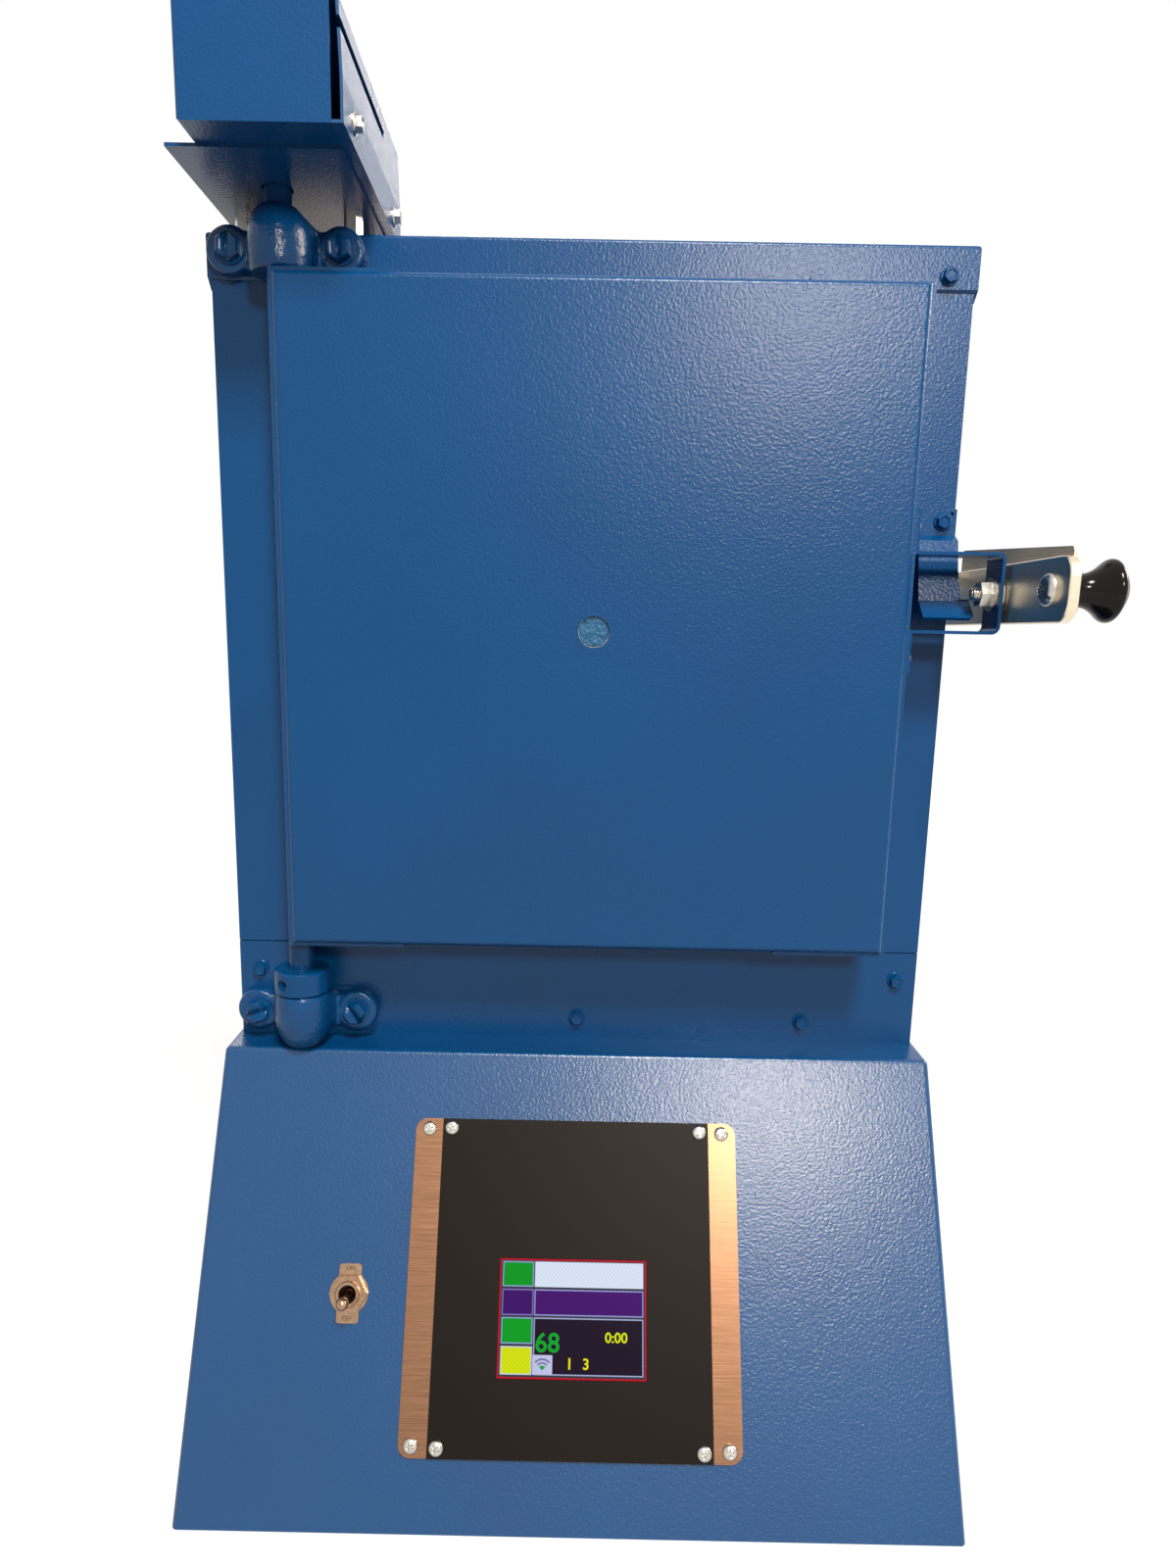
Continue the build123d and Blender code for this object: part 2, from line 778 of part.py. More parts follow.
brick_left_edge = notch_right + 2.3
inner_right = door_right - sheet
inner_low = door_low + sheet
inner_high = door_high - sheet
frame_back = door_back
frame_front = door_back - sheet
with BuildPart() as door_brick:
    with BuildSketch(Plane.XZ.offset(-frame_front)):
        with BuildLine():
            Polyline(
                (brick_left_edge, inner_low),
                (inner_right, inner_low),
                (inner_right, inner_high),
                (brick_left_edge, inner_high),
                close=True,
            )
        make_face()
    extrude(amount=frame_front - door_face - sheet)
    with BuildSketch(Plane.XZ.offset(-pad_back)):
        with BuildLine():
            Polyline(
                (brick_left_edge + frame_lap + seam, inner_low + frame_lap + seam),
                (inner_right - frame_lap - seam, inner_low + frame_lap + seam),
                (inner_right - frame_lap - seam, inner_high - frame_lap - seam),
                (brick_left_edge + frame_lap + seam, inner_high - frame_lap - seam),
                close=True,
            )
        make_face()
    extrude(amount=pad_back - frame_front)
    with BuildSketch(Plane.XZ):
        with Locations((door_x, door_z)):
            Circle(plug_radius)
    extrude(amount=60, mode=Mode.SUBTRACT)
    with BuildSketch(Plane.YZ.offset(inner_right)):
        with Locations(*[(latch_y, z) for z in strap_screws_z]):
            Circle(2.4)
    extrude(amount=-6, mode=Mode.SUBTRACT)
door_brick.part.label = "door_brick"

with BuildPart() as door_back_frame:
    with BuildSketch(Plane.XZ.offset(-frame_back)):
        with BuildLine():
            Polyline(
                (brick_left_edge, inner_low),
                (inner_right, inner_low),
                (inner_right, inner_high),
                (brick_left_edge, inner_high),
                close=True,
            )
        make_face()
        with BuildLine():
            Polyline(
                (brick_left_edge + frame_lap, inner_low + frame_lap),
                (inner_right - frame_lap, inner_low + frame_lap),
                (inner_right - frame_lap, inner_high - frame_lap),
                (brick_left_edge + frame_lap, inner_high - frame_lap),
                close=True,
            )
        make_face(mode=Mode.SUBTRACT)
    extrude(amount=sheet)
door_back_frame.part.label = "door_back_frame"

with BuildPart() as sight_plug:
    with BuildSketch(Plane.XZ.offset(-pad_back)):
        with Locations((door_x, door_z)):
            Circle(plug_radius)
    extrude(amount=pad_back - door_face - plug_recess)
    fillet(edges().group_by(Axis.Y)[0], radius=0.3)
sight_plug.part.label = "sight_plug"

# Hinge: rod, collar with set screw, two cast pillow blocks
with BuildPart() as hinge_rod:
    with BuildSketch(Plane.XY.offset(rod_low)):
        with Locations((rod_x, rod_y)):
            Circle(rod_radius)
    extrude(amount=rod_high - rod_low)
    chamfer(edges().group_by(Axis.Z)[0] + edges().group_by(Axis.Z)[-1], length=1)
hinge_rod.part.label = "hinge_rod"

set_screw_way = Plane(origin=(rod_x, rod_y, collar_mid), z_dir=(-0.5, -math.sqrt(0.75), 0))
with BuildPart() as shaft_collar:
    with BuildSketch(Plane.XY.offset(collar_low)):
        with Locations((rod_x, rod_y)):
            Circle(collar_radius)
            Circle(rod_radius, mode=Mode.SUBTRACT)
    extrude(amount=collar_high - collar_low)
    chamfer(
        edges().filter_by(GeomType.CIRCLE).filter_by(lambda e: e.radius > rod_radius + 1),
        length=0.8,
    )
    with BuildSketch(set_screw_way):
        Circle(3)
    extrude(amount=collar_radius + 2, mode=Mode.SUBTRACT)
shaft_collar.part.label = "shaft_collar"

with BuildPart() as collar_set_screw:
    with BuildSketch(set_screw_way.offset(rod_radius)):
        Circle(3)
    extrude(amount=6.6)
    with BuildSketch(set_screw_way.offset(rod_radius + 6.6)):
        RegularPolygon(1.6, 6, major_radius=False)
    extrude(amount=-3, mode=Mode.SUBTRACT)
    with Locations((rod_x, rod_y, collar_mid)):
        Cylinder(radius=rod_radius, height=12, mode=Mode.SUBTRACT)
collar_set_screw.part.label = "collar_set_screw"

with BuildPart() as lower_pillow_block:
    with BuildSketch(Plane.XY.offset(lower_block - hub_height / 2)):
        with Locations((rod_x, rod_y)):
            Circle(hub_radius)
        with Locations((rod_x, block_seat - 1)):
            Rectangle(34, 2)
        make_hull()
    extrude(amount=hub_height)
    hub_rims = edges().group_by(Axis.Z)[0] + edges().group_by(Axis.Z)[-1]
    fillet(hub_rims.filter_by(lambda e: e.length > 10 and e.center().Y < -3), radius=3.5)
    with BuildSketch(Plane.XZ.offset(-block_seat)):
        with Locations((rod_x, lower_block)):
            SlotOverall(foot_length, foot_height)
    extrude(amount=foot_thick)
    with BuildSketch(Plane.XY.offset(lower_block - hub_height)):
        with Locations((rod_x, rod_y)):
            Circle(rod_radius + running_fit)
    extrude(amount=2 * hub_height, mode=Mode.SUBTRACT)
    with BuildSketch(Plane.XZ.offset(-block_seat)):
        with Locations(*pillow_bolts[:2]):
            Circle(bolt_radius)
    extrude(amount=foot_thick, mode=Mode.SUBTRACT)
lower_pillow_block.part.label = "lower_pillow_block"

with BuildPart() as upper_pillow_block:
    with BuildSketch(Plane.XY.offset(upper_block - hub_height / 2)):
        with Locations((rod_x, rod_y)):
            Circle(hub_radius)
        with Locations((rod_x, block_seat - 1)):
            Rectangle(34, 2)
        make_hull()
    extrude(amount=hub_height)
    hub_rims = edges().group_by(Axis.Z)[0] + edges().group_by(Axis.Z)[-1]
    fillet(hub_rims.filter_by(lambda e: e.length > 10 and e.center().Y < -3), radius=3.5)
    with BuildSketch(Plane.XZ.offset(-block_seat)):
        with Locations((rod_x, upper_block)):
            SlotOverall(foot_length, foot_height)
    extrude(amount=foot_thick)
    with BuildSketch(Plane.XY.offset(upper_block - hub_height)):
        with Locations((rod_x, rod_y)):
            Circle(rod_radius + running_fit)
    extrude(amount=2 * hub_height, mode=Mode.SUBTRACT)
    with BuildSketch(Plane.XZ.offset(-block_seat)):
        with Locations(*pillow_bolts[2:]):
            Circle(bolt_radius)
    extrude(amount=foot_thick, mode=Mode.SUBTRACT)
upper_pillow_block.part.label = "upper_pillow_block"

with BuildPart() as block_shim:
    with BuildSketch(Plane.XZ):
        with Locations((rod_x, lower_block)):
            SlotOverall(foot_length + 1, foot_height + 1)
        with Locations(*pillow_bolts[:2]):
            Circle(bolt_radius, mode=Mode.SUBTRACT)
    extrude(amount=-block_seat)
block_shim.part.label = "block_shim"

washer_front = foot_front - washer_thick
with BuildPart() as pillow_washers:
    with BuildSketch(Plane.XZ.offset(-foot_front)):
        with Locations(*pillow_bolts):
            Circle(7.4)
        with Locations(*pillow_bolts):
            Circle(bolt_radius, mode=Mode.SUBTRACT)
    extrude(amount=washer_thick)
pillow_washers.part.label = "pillow_washers"

with BuildPart() as pillow_bolt_set:
    with BuildSketch(Plane.XZ.offset(-washer_front)):
        with Locations(*pillow_bolts):
            RegularPolygon(bolt_head / 2, 6, major_radius=False)
    extrude(amount=4.2)
    with BuildSketch(Plane.XZ.offset(-washer_front + 4.2)):
        with Locations(*pillow_bolts):
            Rectangle(bolt_head + 2, 1.3)
    extrude(amount=-1.4, mode=Mode.SUBTRACT)
    with BuildSketch(Plane.XZ.offset(-washer_front)):
        with Locations(*pillow_bolts):
            Circle(bolt_radius)
    extrude(amount=-(12 - washer_front))
pillow_bolt_set.part.label = "pillow_bolts"

# Switch box over the hinge, driven by the rod
stud_places = [
    (box_left, box_back - 48),
    (box_right - 10, box_back - 48),
    (box_left, box_back - 15),
    (box_right - 10, box_back - 15),
]
plate_left = box_left - 12.0
plate_front = box_front + 19.0
plate_back = box_back - 7.0
with BuildPart() as box_standoffs:
    with BuildSketch(Plane.XY.offset(cap_top)):
        with Locations(*stud_places):
            RegularPolygon(4, 6, major_radius=False)
    extrude(amount=plate_low - cap_top)
box_standoffs.part.label = "box_standoffs"

with BuildPart() as switch_box_plate:
    with BuildSketch(Plane.XY.offset(plate_low)):
        with BuildLine():
            Polyline(
                (plate_left, plate_front),
                (box_right, plate_front),
                (box_right, plate_back),
                (plate_left, plate_back),
                close=True,
            )
        make_face()
        with Locations((rod_x, rod_y)):
            Circle(rod_radius + 1, mode=Mode.SUBTRACT)
    extrude(amount=plate_thick)
switch_box_plate.part.label = "switch_box_plate"

with BuildPart() as switch_box:
    with BuildSketch(Plane.YZ.offset(box_left)):
        with Locations(((box_front + box_back) / 2, (plate_top + box_high) / 2)):
            Rectangle(box_back - box_front, box_high - plate_top)
    extrude(amount=box_right - box_left)
    fillet(edges().group_by(Axis.X)[0], radius=2)
    with BuildSketch(Plane.YZ.offset(box_left + sheet)):
        with Locations(((box_front + box_back) / 2, (plate_top + box_high) / 2)):
            Rectangle(box_back - box_front - 2 * sheet, box_high - plate_top - 2 * sheet)
    extrude(amount=box_right - box_left, mode=Mode.SUBTRACT)
    with BuildSketch(Plane.XY.offset(plate_low)):
        with Locations((rod_x, rod_y)):
            Circle(rod_radius + 1)
    extrude(amount=8, mode=Mode.SUBTRACT)
switch_box.part.label = "switch_box"

with BuildPart() as switch_box_cover:
    with BuildSketch(Plane.XZ.offset(-box_back)):
        with BuildLine():
            Polyline(
                (box_right, plate_top),
                (cover_face, plate_top),
                (cover_face, cover_fold),
                (cover_face - cover_lean, box_high),
                (box_right, box_high),
                close=True,
            )
        make_face()
    extrude(amount=box_back - box_front)
    with BuildSketch(Plane.XZ.offset(-box_back + sheet)):
        with BuildLine():
            Polyline(
                (box_right - 1, plate_top + sheet),
                (cover_face - sheet, plate_top + sheet),
                (cover_face - sheet, cover_fold),
                (cover_face - cover_lean - sheet, box_high - sheet),
                (box_right - 1, box_high - sheet),
                close=True,
            )
        make_face()
    extrude(amount=box_back - box_front, mode=Mode.SUBTRACT)
    # Cable slot, open at the front
    with BuildSketch(Plane.YZ.offset(cover_face - 4)):
        with BuildLine():
            Polyline(
                (box_front - 5, cable_slot_low),
                (box_back - 44, cable_slot_low),
                (box_back - 40, cable_slot_low + cable_slot),
                (box_front - 5, cable_slot_low + cable_slot),
                close=True,
            )
        make_face()
        with Locations(*box_screw_places):
            Circle(1.8)
    extrude(amount=10, mode=Mode.SUBTRACT)
switch_box_cover.part.label = "switch_box_cover"

with BuildPart() as box_cover_screws:
    with BuildSketch(Plane.YZ.offset(cover_face)):
        with Locations(*box_screw_places):
            Circle(4.4)
    extrude(amount=0.9)
    with BuildSketch(Plane.YZ.offset(cover_face + 0.9)):
        with Locations(*box_screw_places):
            RegularPolygon(3.18, 6, major_radius=False)
    extrude(amount=2.9)
    with BuildSketch(Plane.YZ.offset(cover_face)):
        with Locations(*box_screw_places):
            Circle(1.8)
    extrude(amount=-8)
box_cover_screws.part.label = "box_cover_screws"

reed_y = rod_y + 16.0
with BuildPart() as interlock_magnet:
    with BuildSketch(Plane.XY.offset(plate_top + 6.5)):
        with Locations((rod_x, rod_y)):
            Circle(12)
            Circle(rod_radius, mode=Mode.SUBTRACT)
        with Locations((rod_x, rod_y + 11)):
            Rectangle(12, 5, mode=Mode.SUBTRACT)
        with Locations((rod_x, rod_y + 10.5)):
            Rectangle(10, 4)
    extrude(amount=8)
interlock_magnet.part.label = "interlock_magnet"

with BuildPart() as reed_switch:
    with BuildSketch(Plane.XY.offset(plate_top + sheet)):
        with Locations((rod_x, reed_y + 5)):
            Rectangle(30, 10)
    extrude(amount=14)
    fillet(edges().filter_by(Axis.Z), radius=1.5)
reed_switch.part.label = "reed_switch"

# Latch: hat strap on the door, pivot bolt, hooked lever, backing plate and knob
with BuildPart() as latch_strap:
    with BuildSketch(Plane.XZ.offset(-strap_back)):
        with Locations(((rail_face + strap_reach) / 2, latch_z)):
            Rectangle(strap_reach - rail_face, 2 * strap_half)
        fillet(vertices().group_by(Axis.X)[-1], radius=4)
        with Locations((rail_face + strap_thick / 2, latch_z)):
            Rectangle(strap_thick, 2 * strap_tab_half)
    extrude(amount=strap_width)
    with BuildSketch(Plane.XZ.offset(-strap_back - 1)):
        with Locations(((rail_face - 5 + strap_reach - strap_thick) / 2, latch_z)):
            Rectangle(strap_reach - strap_thick - rail_face + 5, 2 * (strap_half - strap_thick))
        fillet(vertices().group_by(Axis.X)[-1], radius=2.5)
    extrude(amount=strap_width + 2, mode=Mode.SUBTRACT)
    with BuildSketch(Plane.YZ.offset(rail_face - 1)):
        with Locations((latch_y, latch_z - strap_screw), (latch_y, latch_z + strap_screw)):
            Circle(2.1)
    extrude(amount=4, mode=Mode.SUBTRACT)
    with BuildSketch(Plane.YZ.offset(strap_reach - 4)):
        with Locations((latch_y, latch_z)):
            Circle(pivot_radius)
    extrude(amount=8, mode=Mode.SUBTRACT)
latch_strap.part.label = "latch_strap"

with BuildPart() as strap_screw_pair:
    with BuildSketch(Plane.YZ.offset(rail_face + strap_thick)):
        with Locations(*[(latch_y, z) for z in strap_screws_z]):
            Circle(4)
    extrude(amount=2.4)
    fillet(edges().group_by(Axis.X)[-1], radius=1.4)
    with BuildSketch(Plane.YZ.offset(rail_face + strap_thick)):
        with Locations(*[(latch_y, z) for z in strap_screws_z]):
            Circle(2.1)
    extrude(amount=-10)
strap_screw_pair.part.label = "strap_screws"

with BuildPart() as pivot_bolt:
    with BuildSketch(Plane.YZ.offset(guard_out + moving_gap)):
        with Locations((latch_y, latch_z)):
            RegularPolygon(bolt_head / 2, 6, major_radius=False)
    extrude(amount=4)
    with BuildSketch(Plane.YZ.offset(bolt_end)):
        with Locations((latch_y, latch_z)):
            Circle(pivot_radius)
    extrude(amount=guard_out + moving_gap - bolt_end)
    chamfer(edges().group_by(Axis.X)[0], length=0.6)
pivot_bolt.part.label = "pivot_bolt"

with BuildPart() as pivot_nut:
    with BuildSketch(Plane.YZ.offset(nut_face)):
        with Locations((latch_y, latch_z)):
            RegularPolygon(bolt_head / 2, 6, major_radius=False)
            Circle(pivot_radius, mode=Mode.SUBTRACT)
    extrude(amount=nut_thick)
pivot_nut.part.label = "pivot_nut"

with BuildPart() as pivot_washers:
    with BuildSketch(Plane.YZ.offset(nut_face + nut_thick)):
        with Locations((latch_y, latch_z)):
            Circle(8)
            Circle(pivot_radius, mode=Mode.SUBTRACT)
    extrude(amount=strap_reach - strap_thick - nut_face - nut_thick)
    with BuildSketch(Plane.YZ.offset(strap_reach)):
        with Locations((latch_y, latch_z)):
            Circle(8)
            Circle(pivot_radius, mode=Mode.SUBTRACT)
    extrude(amount=1.6)
pivot_washers.part.label = "pivot_washers"

with BuildPart() as latch_lever:
    with BuildSketch(Plane.YZ.offset(lever_face)):
        with BuildLine():
            Polyline(
                (lever_front, latch_z - lever_half),
                (lever_back, latch_z - lever_half),
                (lever_back, tail_top),
                (post_y + 7, tail_top),
                (post_y + 7, latch_z - 4),
                (post_y - 6, latch_z - 4),
                (post_y - 6, tail_top),
                (post_y - 12, tail_top),
                (post_y - 12, latch_z + lever_half),
                (lever_front, latch_z + lever_half),
                close=True,
            )
        make_face()
        fillet(vertices().group_by(Axis.X)[0], radius=9)
        fillet(vertices().group_by(Axis.X)[-1], radius=2)
        with Locations((latch_y, latch_z)):
            Circle(pivot_radius + running_fit, mode=Mode.SUBTRACT)
        with Locations((knob_y, latch_z)):
            Circle(2.5, mode=Mode.SUBTRACT)
    extrude(amount=lever_thick)
    chamfer(edges().filter_by(Plane.YZ).filter_by(lambda e: e.length > 15), length=0.5)
latch_lever.part.label = "latch_lever"

guard_front = lever_front + 9.0
guard_back = post_y - 10.0
with BuildPart() as lever_backing_plate:
    with BuildSketch(Plane.YZ.offset(guard_face)):
        with BuildLine():
            Polyline(
                (guard_front, latch_z - lever_half),
                (guard_back, latch_z - lever_half),
                (guard_back, latch_z + 26),
                (guard_front, latch_z + 18),
                close=True,
            )
        make_face()
        fillet(vertices(), radius=3)
        with Locations((latch_y, latch_z)):
            Circle(pivot_radius + running_fit, mode=Mode.SUBTRACT)
        with Locations((knob_y, latch_z)):
            Circle(2.5, mode=Mode.SUBTRACT)
    extrude(amount=guard_thick)
lever_backing_plate.part.label = "lever_backing_plate"

with BuildPart() as latch_knob:
    with BuildSketch(Plane(origin=(guard_out, knob_y, latch_z), x_dir=(1, 0, 0), z_dir=(0, -1, 0))):
        with BuildLine():
            Line((0, 2.5), (0, 7.2))
            Line((0, 7.2), (4.5, 7.0))
            ThreePointArc((4.5, 7.0), (11.5, 9.0), (17.0, 13.2))
            ThreePointArc((17.0, 13.2), (19.6, 13.4), (21.0, 11.4))
            ThreePointArc((21.0, 11.4), (24.3, 7.4), (25.4, 2.5))
            Line((25.4, 2.5), (25.4, 0))
            Line((25.4, 0), (14, 0))
            Line((14, 0), (14, 2.5))
            Line((14, 2.5), (0, 2.5))
        make_face()
    revolve(axis=Axis((guard_out, knob_y, latch_z), (1, 0, 0)))
latch_knob.part.label = "latch_knob"

with BuildPart() as knob_screw:
    with BuildSketch(Plane.YZ.offset(lever_face)):
        with Locations((knob_y, latch_z)):
            Circle(7.2)
    extrude(amount=-3.6)
    fillet(edges().group_by(Axis.X)[0], radius=3)
    with BuildSketch(Plane.YZ.offset(lever_face - 3.6)):
        with Locations((knob_y, latch_z)):
            Rectangle(16, 1.5, rotation=35)
    extrude(amount=1.5, mode=Mode.SUBTRACT)
    with BuildSketch(Plane.YZ.offset(lever_face)):
        with Locations((knob_y, latch_z)):
            Circle(2.5)
    extrude(amount=guard_out - lever_face + 14)
knob_screw.part.label = "knob_screw"

# Fixed side of the latch: post on the case side and guide bracket on the front
with BuildPart() as latch_post:
    with BuildSketch(Plane.YZ.offset(case_half)):
        with Locations((post_y, post_z)):
            RegularPolygon(6.5, 6, major_radius=False)
    extrude(amount=5)
    with BuildSketch(Plane.YZ.offset(case_half)):
        with Locations((post_y, post_z)):
            Circle(post_radius)
    extrude(amount=guard_out + 1 - case_half)
    chamfer(edges().group_by(Axis.X)[-1], length=0.8)
    with BuildSketch(Plane.YZ.offset(case_half)):
        with Locations((post_y, post_z)):
            Circle(2.6)
    extrude(amount=-sheet)
latch_post.part.label = "latch_post"

guide_side = Plane(origin=(case_half - 19.15, 0, latch_z), x_dir=(0, 1, 0), z_dir=(1, 0, 0))
guide_front = Plane(origin=(case_half, 0, latch_z), x_dir=(1, 0, 0), z_dir=(0, -1, 0))
with BuildPart() as guide_bracket:
    with BuildSketch(guide_side):
        with BuildLine():
            Polyline(
                (0, 42.3),
                (0, 28.6),
                (-5.0, 25.6),
                (-11.6, -3.6),
                (-20.6, -12.4),
                (-21.7, -11.3),
                (-13.0, -2.8),
                (-6.4, 26.6),
                (-1.5, 29.5),
                (-1.5, 42.3),
                close=True,
            )
        make_face()
    extrude(amount=25)
    # Narrower above the lip, with the lip's outer corner clipped
    with BuildSketch(guide_front):
        with BuildLine():
            Polyline((0.45, 50), (0.45, 12), (2.05, -2), (6.85, -2), (6.85, 50), close=True)
        make_face()
    extrude(amount=30, mode=Mode.SUBTRACT)
    with BuildSketch(guide_front):
        with BuildLine():
            Polyline((3.05, -13), (6.35, -9.5), (6.35, -13), close=True)
        make_face()
        with Locations((-6.45, 36.0)):
            Circle(2.1)
        with Locations((-1.95, 40.0)):
            Circle(0.9)
    extrude(amount=30, mode=Mode.SUBTRACT)
guide_bracket.part.label = "guide_bracket"

# Controller: steel plate, black overlay, display, housing and screws
lcd_gap = 0.15
with BuildPart() as controller_plate:
    with BuildSketch(panel):
        with Locations((face_mid, -face_centre)):
            RectangleRounded(face_width, face_height, 6)
        with Locations((face_mid, -lcd_centre)):
            Rectangle(lcd_width + 2 * lcd_gap, lcd_height + 2 * lcd_gap, mode=Mode.SUBTRACT)
        for x, down in overlay_screws + steel_screws:
            with Locations((face_mid - x, -down), (face_mid + x, -down)):
                Circle(1.9, mode=Mode.SUBTRACT)
    extrude(amount=plate_sheet)
controller_plate.part.label = "controller_plate"

with BuildPart() as controller_overlay:
    with BuildSketch(panel.offset(plate_sheet)):
        with Locations((face_mid, -face_centre)):
            Rectangle(overlay_width, face_height)
        with Locations((face_mid, -lcd_centre)):
            Rectangle(lcd_width + 2 * lcd_gap, lcd_height + 2 * lcd_gap, mode=Mode.SUBTRACT)
        for x, down in overlay_screws:
            with Locations((face_mid - x, -down), (face_mid + x, -down)):
                Circle(1.9, mode=Mode.SUBTRACT)
    extrude(amount=overlay_sheet)
controller_overlay.part.label = "controller_overlay"

with BuildPart() as controller_housing:
    with BuildSketch(panel):
        with Locations((face_mid, -face_centre)):
            Rectangle(2 * housing_half, housing_height)
    extrude(amount=-42)
    with BuildSketch(panel):
        with Locations((face_mid, -lcd_centre)):
            Rectangle(lcd_width + 2 * lcd_gap, lcd_height + 2 * lcd_gap)
    extrude(amount=-3, mode=Mode.SUBTRACT)
controller_housing.part.label = "controller_housing"

with BuildPart() as controller_display:
    with BuildSketch(panel.offset(-3)):
        with Locations((face_mid, -lcd_centre)):
            Rectangle(lcd_width, lcd_height)
    extrude(amount=3 + plate_sheet + overlay_sheet - 0.2)
controller_display.part.label = "controller_display"

with BuildPart() as controller_screws:
    for x, down in overlay_screws + steel_screws:
        seat = plate_sheet
        if (x, down) in overlay_screws:
            seat = plate_sheet + overlay_sheet
        with BuildSketch(panel.offset(seat)):
            with Locations((face_mid - x, -down), (face_mid + x, -down)):
                Circle(3.6)
        extrude(amount=1.1)
        with BuildSketch(panel.offset(seat + 1.1)):
            with Locations((face_mid - x, -down), (face_mid + x, -down)):
                Circle(3.6)
        extrude(amount=0.9, taper=45)
        with BuildSketch(panel.offset(seat)):
            with Locations((face_mid - x, -down), (face_mid + x, -down)):
                Circle(1.9)
        extrude(amount=-seat - base_sheet - 4)
controller_screws.part.label = "controller_screws"

# Power switch
switch_plate = 0.8
with BuildPart() as toggle_plate:
    with BuildSketch(panel):
        with Locations((toggle_x, -toggle_down)):
            RectangleRounded(11, 27.4, 1.5)
            Circle(9.6)
            Circle(6, mode=Mode.SUBTRACT)
    extrude(amount=switch_plate)
toggle_plate.part.label = "toggle_plate"

with BuildPart() as toggle_nut:
    with BuildSketch(panel.offset(switch_plate)):
        with Locations((toggle_x, -toggle_down)):
            RegularPolygon(8.2, 6, major_radius=False)
            Circle(6, mode=Mode.SUBTRACT)
    extrude(amount=2.6)
toggle_nut.part.label = "toggle_nut"

with BuildPart() as toggle_body:
    with BuildSketch(panel.offset(-base_sheet)):
        with Locations((toggle_x, -toggle_down)):
            Circle(6)
    extrude(amount=base_sheet + 5.2)
    with BuildSketch(panel.offset(-base_sheet)):
        with Locations((toggle_x, -toggle_down)):
            Rectangle(19, 29)
    extrude(amount=-24)
    with BuildSketch(panel.offset(5.2)):
        with Locations((toggle_x, -toggle_down)):
            Circle(4.1)
    extrude(amount=-5.7, mode=Mode.SUBTRACT)
    with BuildSketch(panel):
        with Locations((toggle_x, -toggle_down)):
            Circle(toggle_ball + running_fit)
    extrude(amount=-5.5, mode=Mode.SUBTRACT)
toggle_body.part.label = "toggle_body"

pivot_point = panel * Location((toggle_x, -toggle_down, -1.5))
lever_way = (
    0,
    -slope_cos * math.cos(math.radians(toggle_tilt)) - slope_sin * math.sin(math.radians(toggle_tilt)),
    slope_sin * math.cos(math.radians(toggle_tilt)) - slope_cos * math.sin(math.radians(toggle_tilt)),
)
lever_plane = Plane(origin=pivot_point.position, x_dir=(1, 0, 0), z_dir=lever_way)
with BuildPart() as toggle_lever:
    with BuildSketch(lever_plane):
        Circle(2.0)
    with BuildSketch(lever_plane.offset(8)):
        Circle(1.6)
    loft()
    with BuildSketch(lever_plane.offset(8)):
        Circle(1.6)
    with BuildSketch(lever_plane.offset(16)):
        Circle(2.1)
    loft()
    with Locations(lever_plane):
        Sphere(radius=toggle_ball)
    with Locations(lever_plane.offset(17.5)):
        Sphere(radius=3.0)
toggle_lever.part.label = "toggle_lever"

# Export
parts = [
    base_housing, base_bottom, base_back, power_inlet, power_relays, case_front,
    case_lower_band, case_left_side, case_right_side, case_back, case_cap, sheet_screws,
    brick_left, brick_right, brick_floor, brick_roof, brick_rear, heating_elements,
    thermocouple, door_pan, door_rail_left, door_rail_right, door_brick, door_back_frame,
    sight_plug, hinge_rod, shaft_collar, collar_set_screw, lower_pillow_block,
    upper_pillow_block, block_shim, pillow_washers, pillow_bolt_set, box_standoffs,
    switch_box_plate, switch_box, switch_box_cover, box_cover_screws, interlock_magnet,
    reed_switch, latch_strap, strap_screw_pair, pivot_bolt, pivot_nut, pivot_washers, latch_lever,
    lever_backing_plate, latch_knob, knob_screw, latch_post, guide_bracket,
    controller_plate, controller_overlay, controller_housing, controller_display,
    controller_screws, toggle_plate, toggle_nut, toggle_body, toggle_lever,
]
os.makedirs("parts", exist_ok=True)
for item in parts:
    export_step(item.part, f"parts/{item.part.label}.step")
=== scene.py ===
# Front-loading heat treating kiln on a sloped control box: painted sheet steel
# round a firebrick chamber, a door on a hinge rod in cast blocks, and a bar latch.
import math

import bmesh
import bpy
from mathutils import Matrix, Vector, noise


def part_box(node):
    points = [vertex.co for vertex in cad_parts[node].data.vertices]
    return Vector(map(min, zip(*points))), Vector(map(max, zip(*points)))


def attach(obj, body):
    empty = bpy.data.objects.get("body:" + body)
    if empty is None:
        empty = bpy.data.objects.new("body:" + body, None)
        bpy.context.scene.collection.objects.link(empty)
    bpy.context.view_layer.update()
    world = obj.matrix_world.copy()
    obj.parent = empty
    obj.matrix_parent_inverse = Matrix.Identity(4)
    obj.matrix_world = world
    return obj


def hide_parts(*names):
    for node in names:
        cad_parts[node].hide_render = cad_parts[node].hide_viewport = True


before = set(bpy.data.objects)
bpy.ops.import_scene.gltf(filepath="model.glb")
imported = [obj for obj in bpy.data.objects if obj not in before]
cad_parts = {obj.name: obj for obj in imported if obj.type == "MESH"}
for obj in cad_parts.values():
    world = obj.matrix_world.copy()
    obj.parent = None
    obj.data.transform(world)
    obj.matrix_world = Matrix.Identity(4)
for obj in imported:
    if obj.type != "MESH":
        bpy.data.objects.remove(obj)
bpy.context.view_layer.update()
mm = 0.001

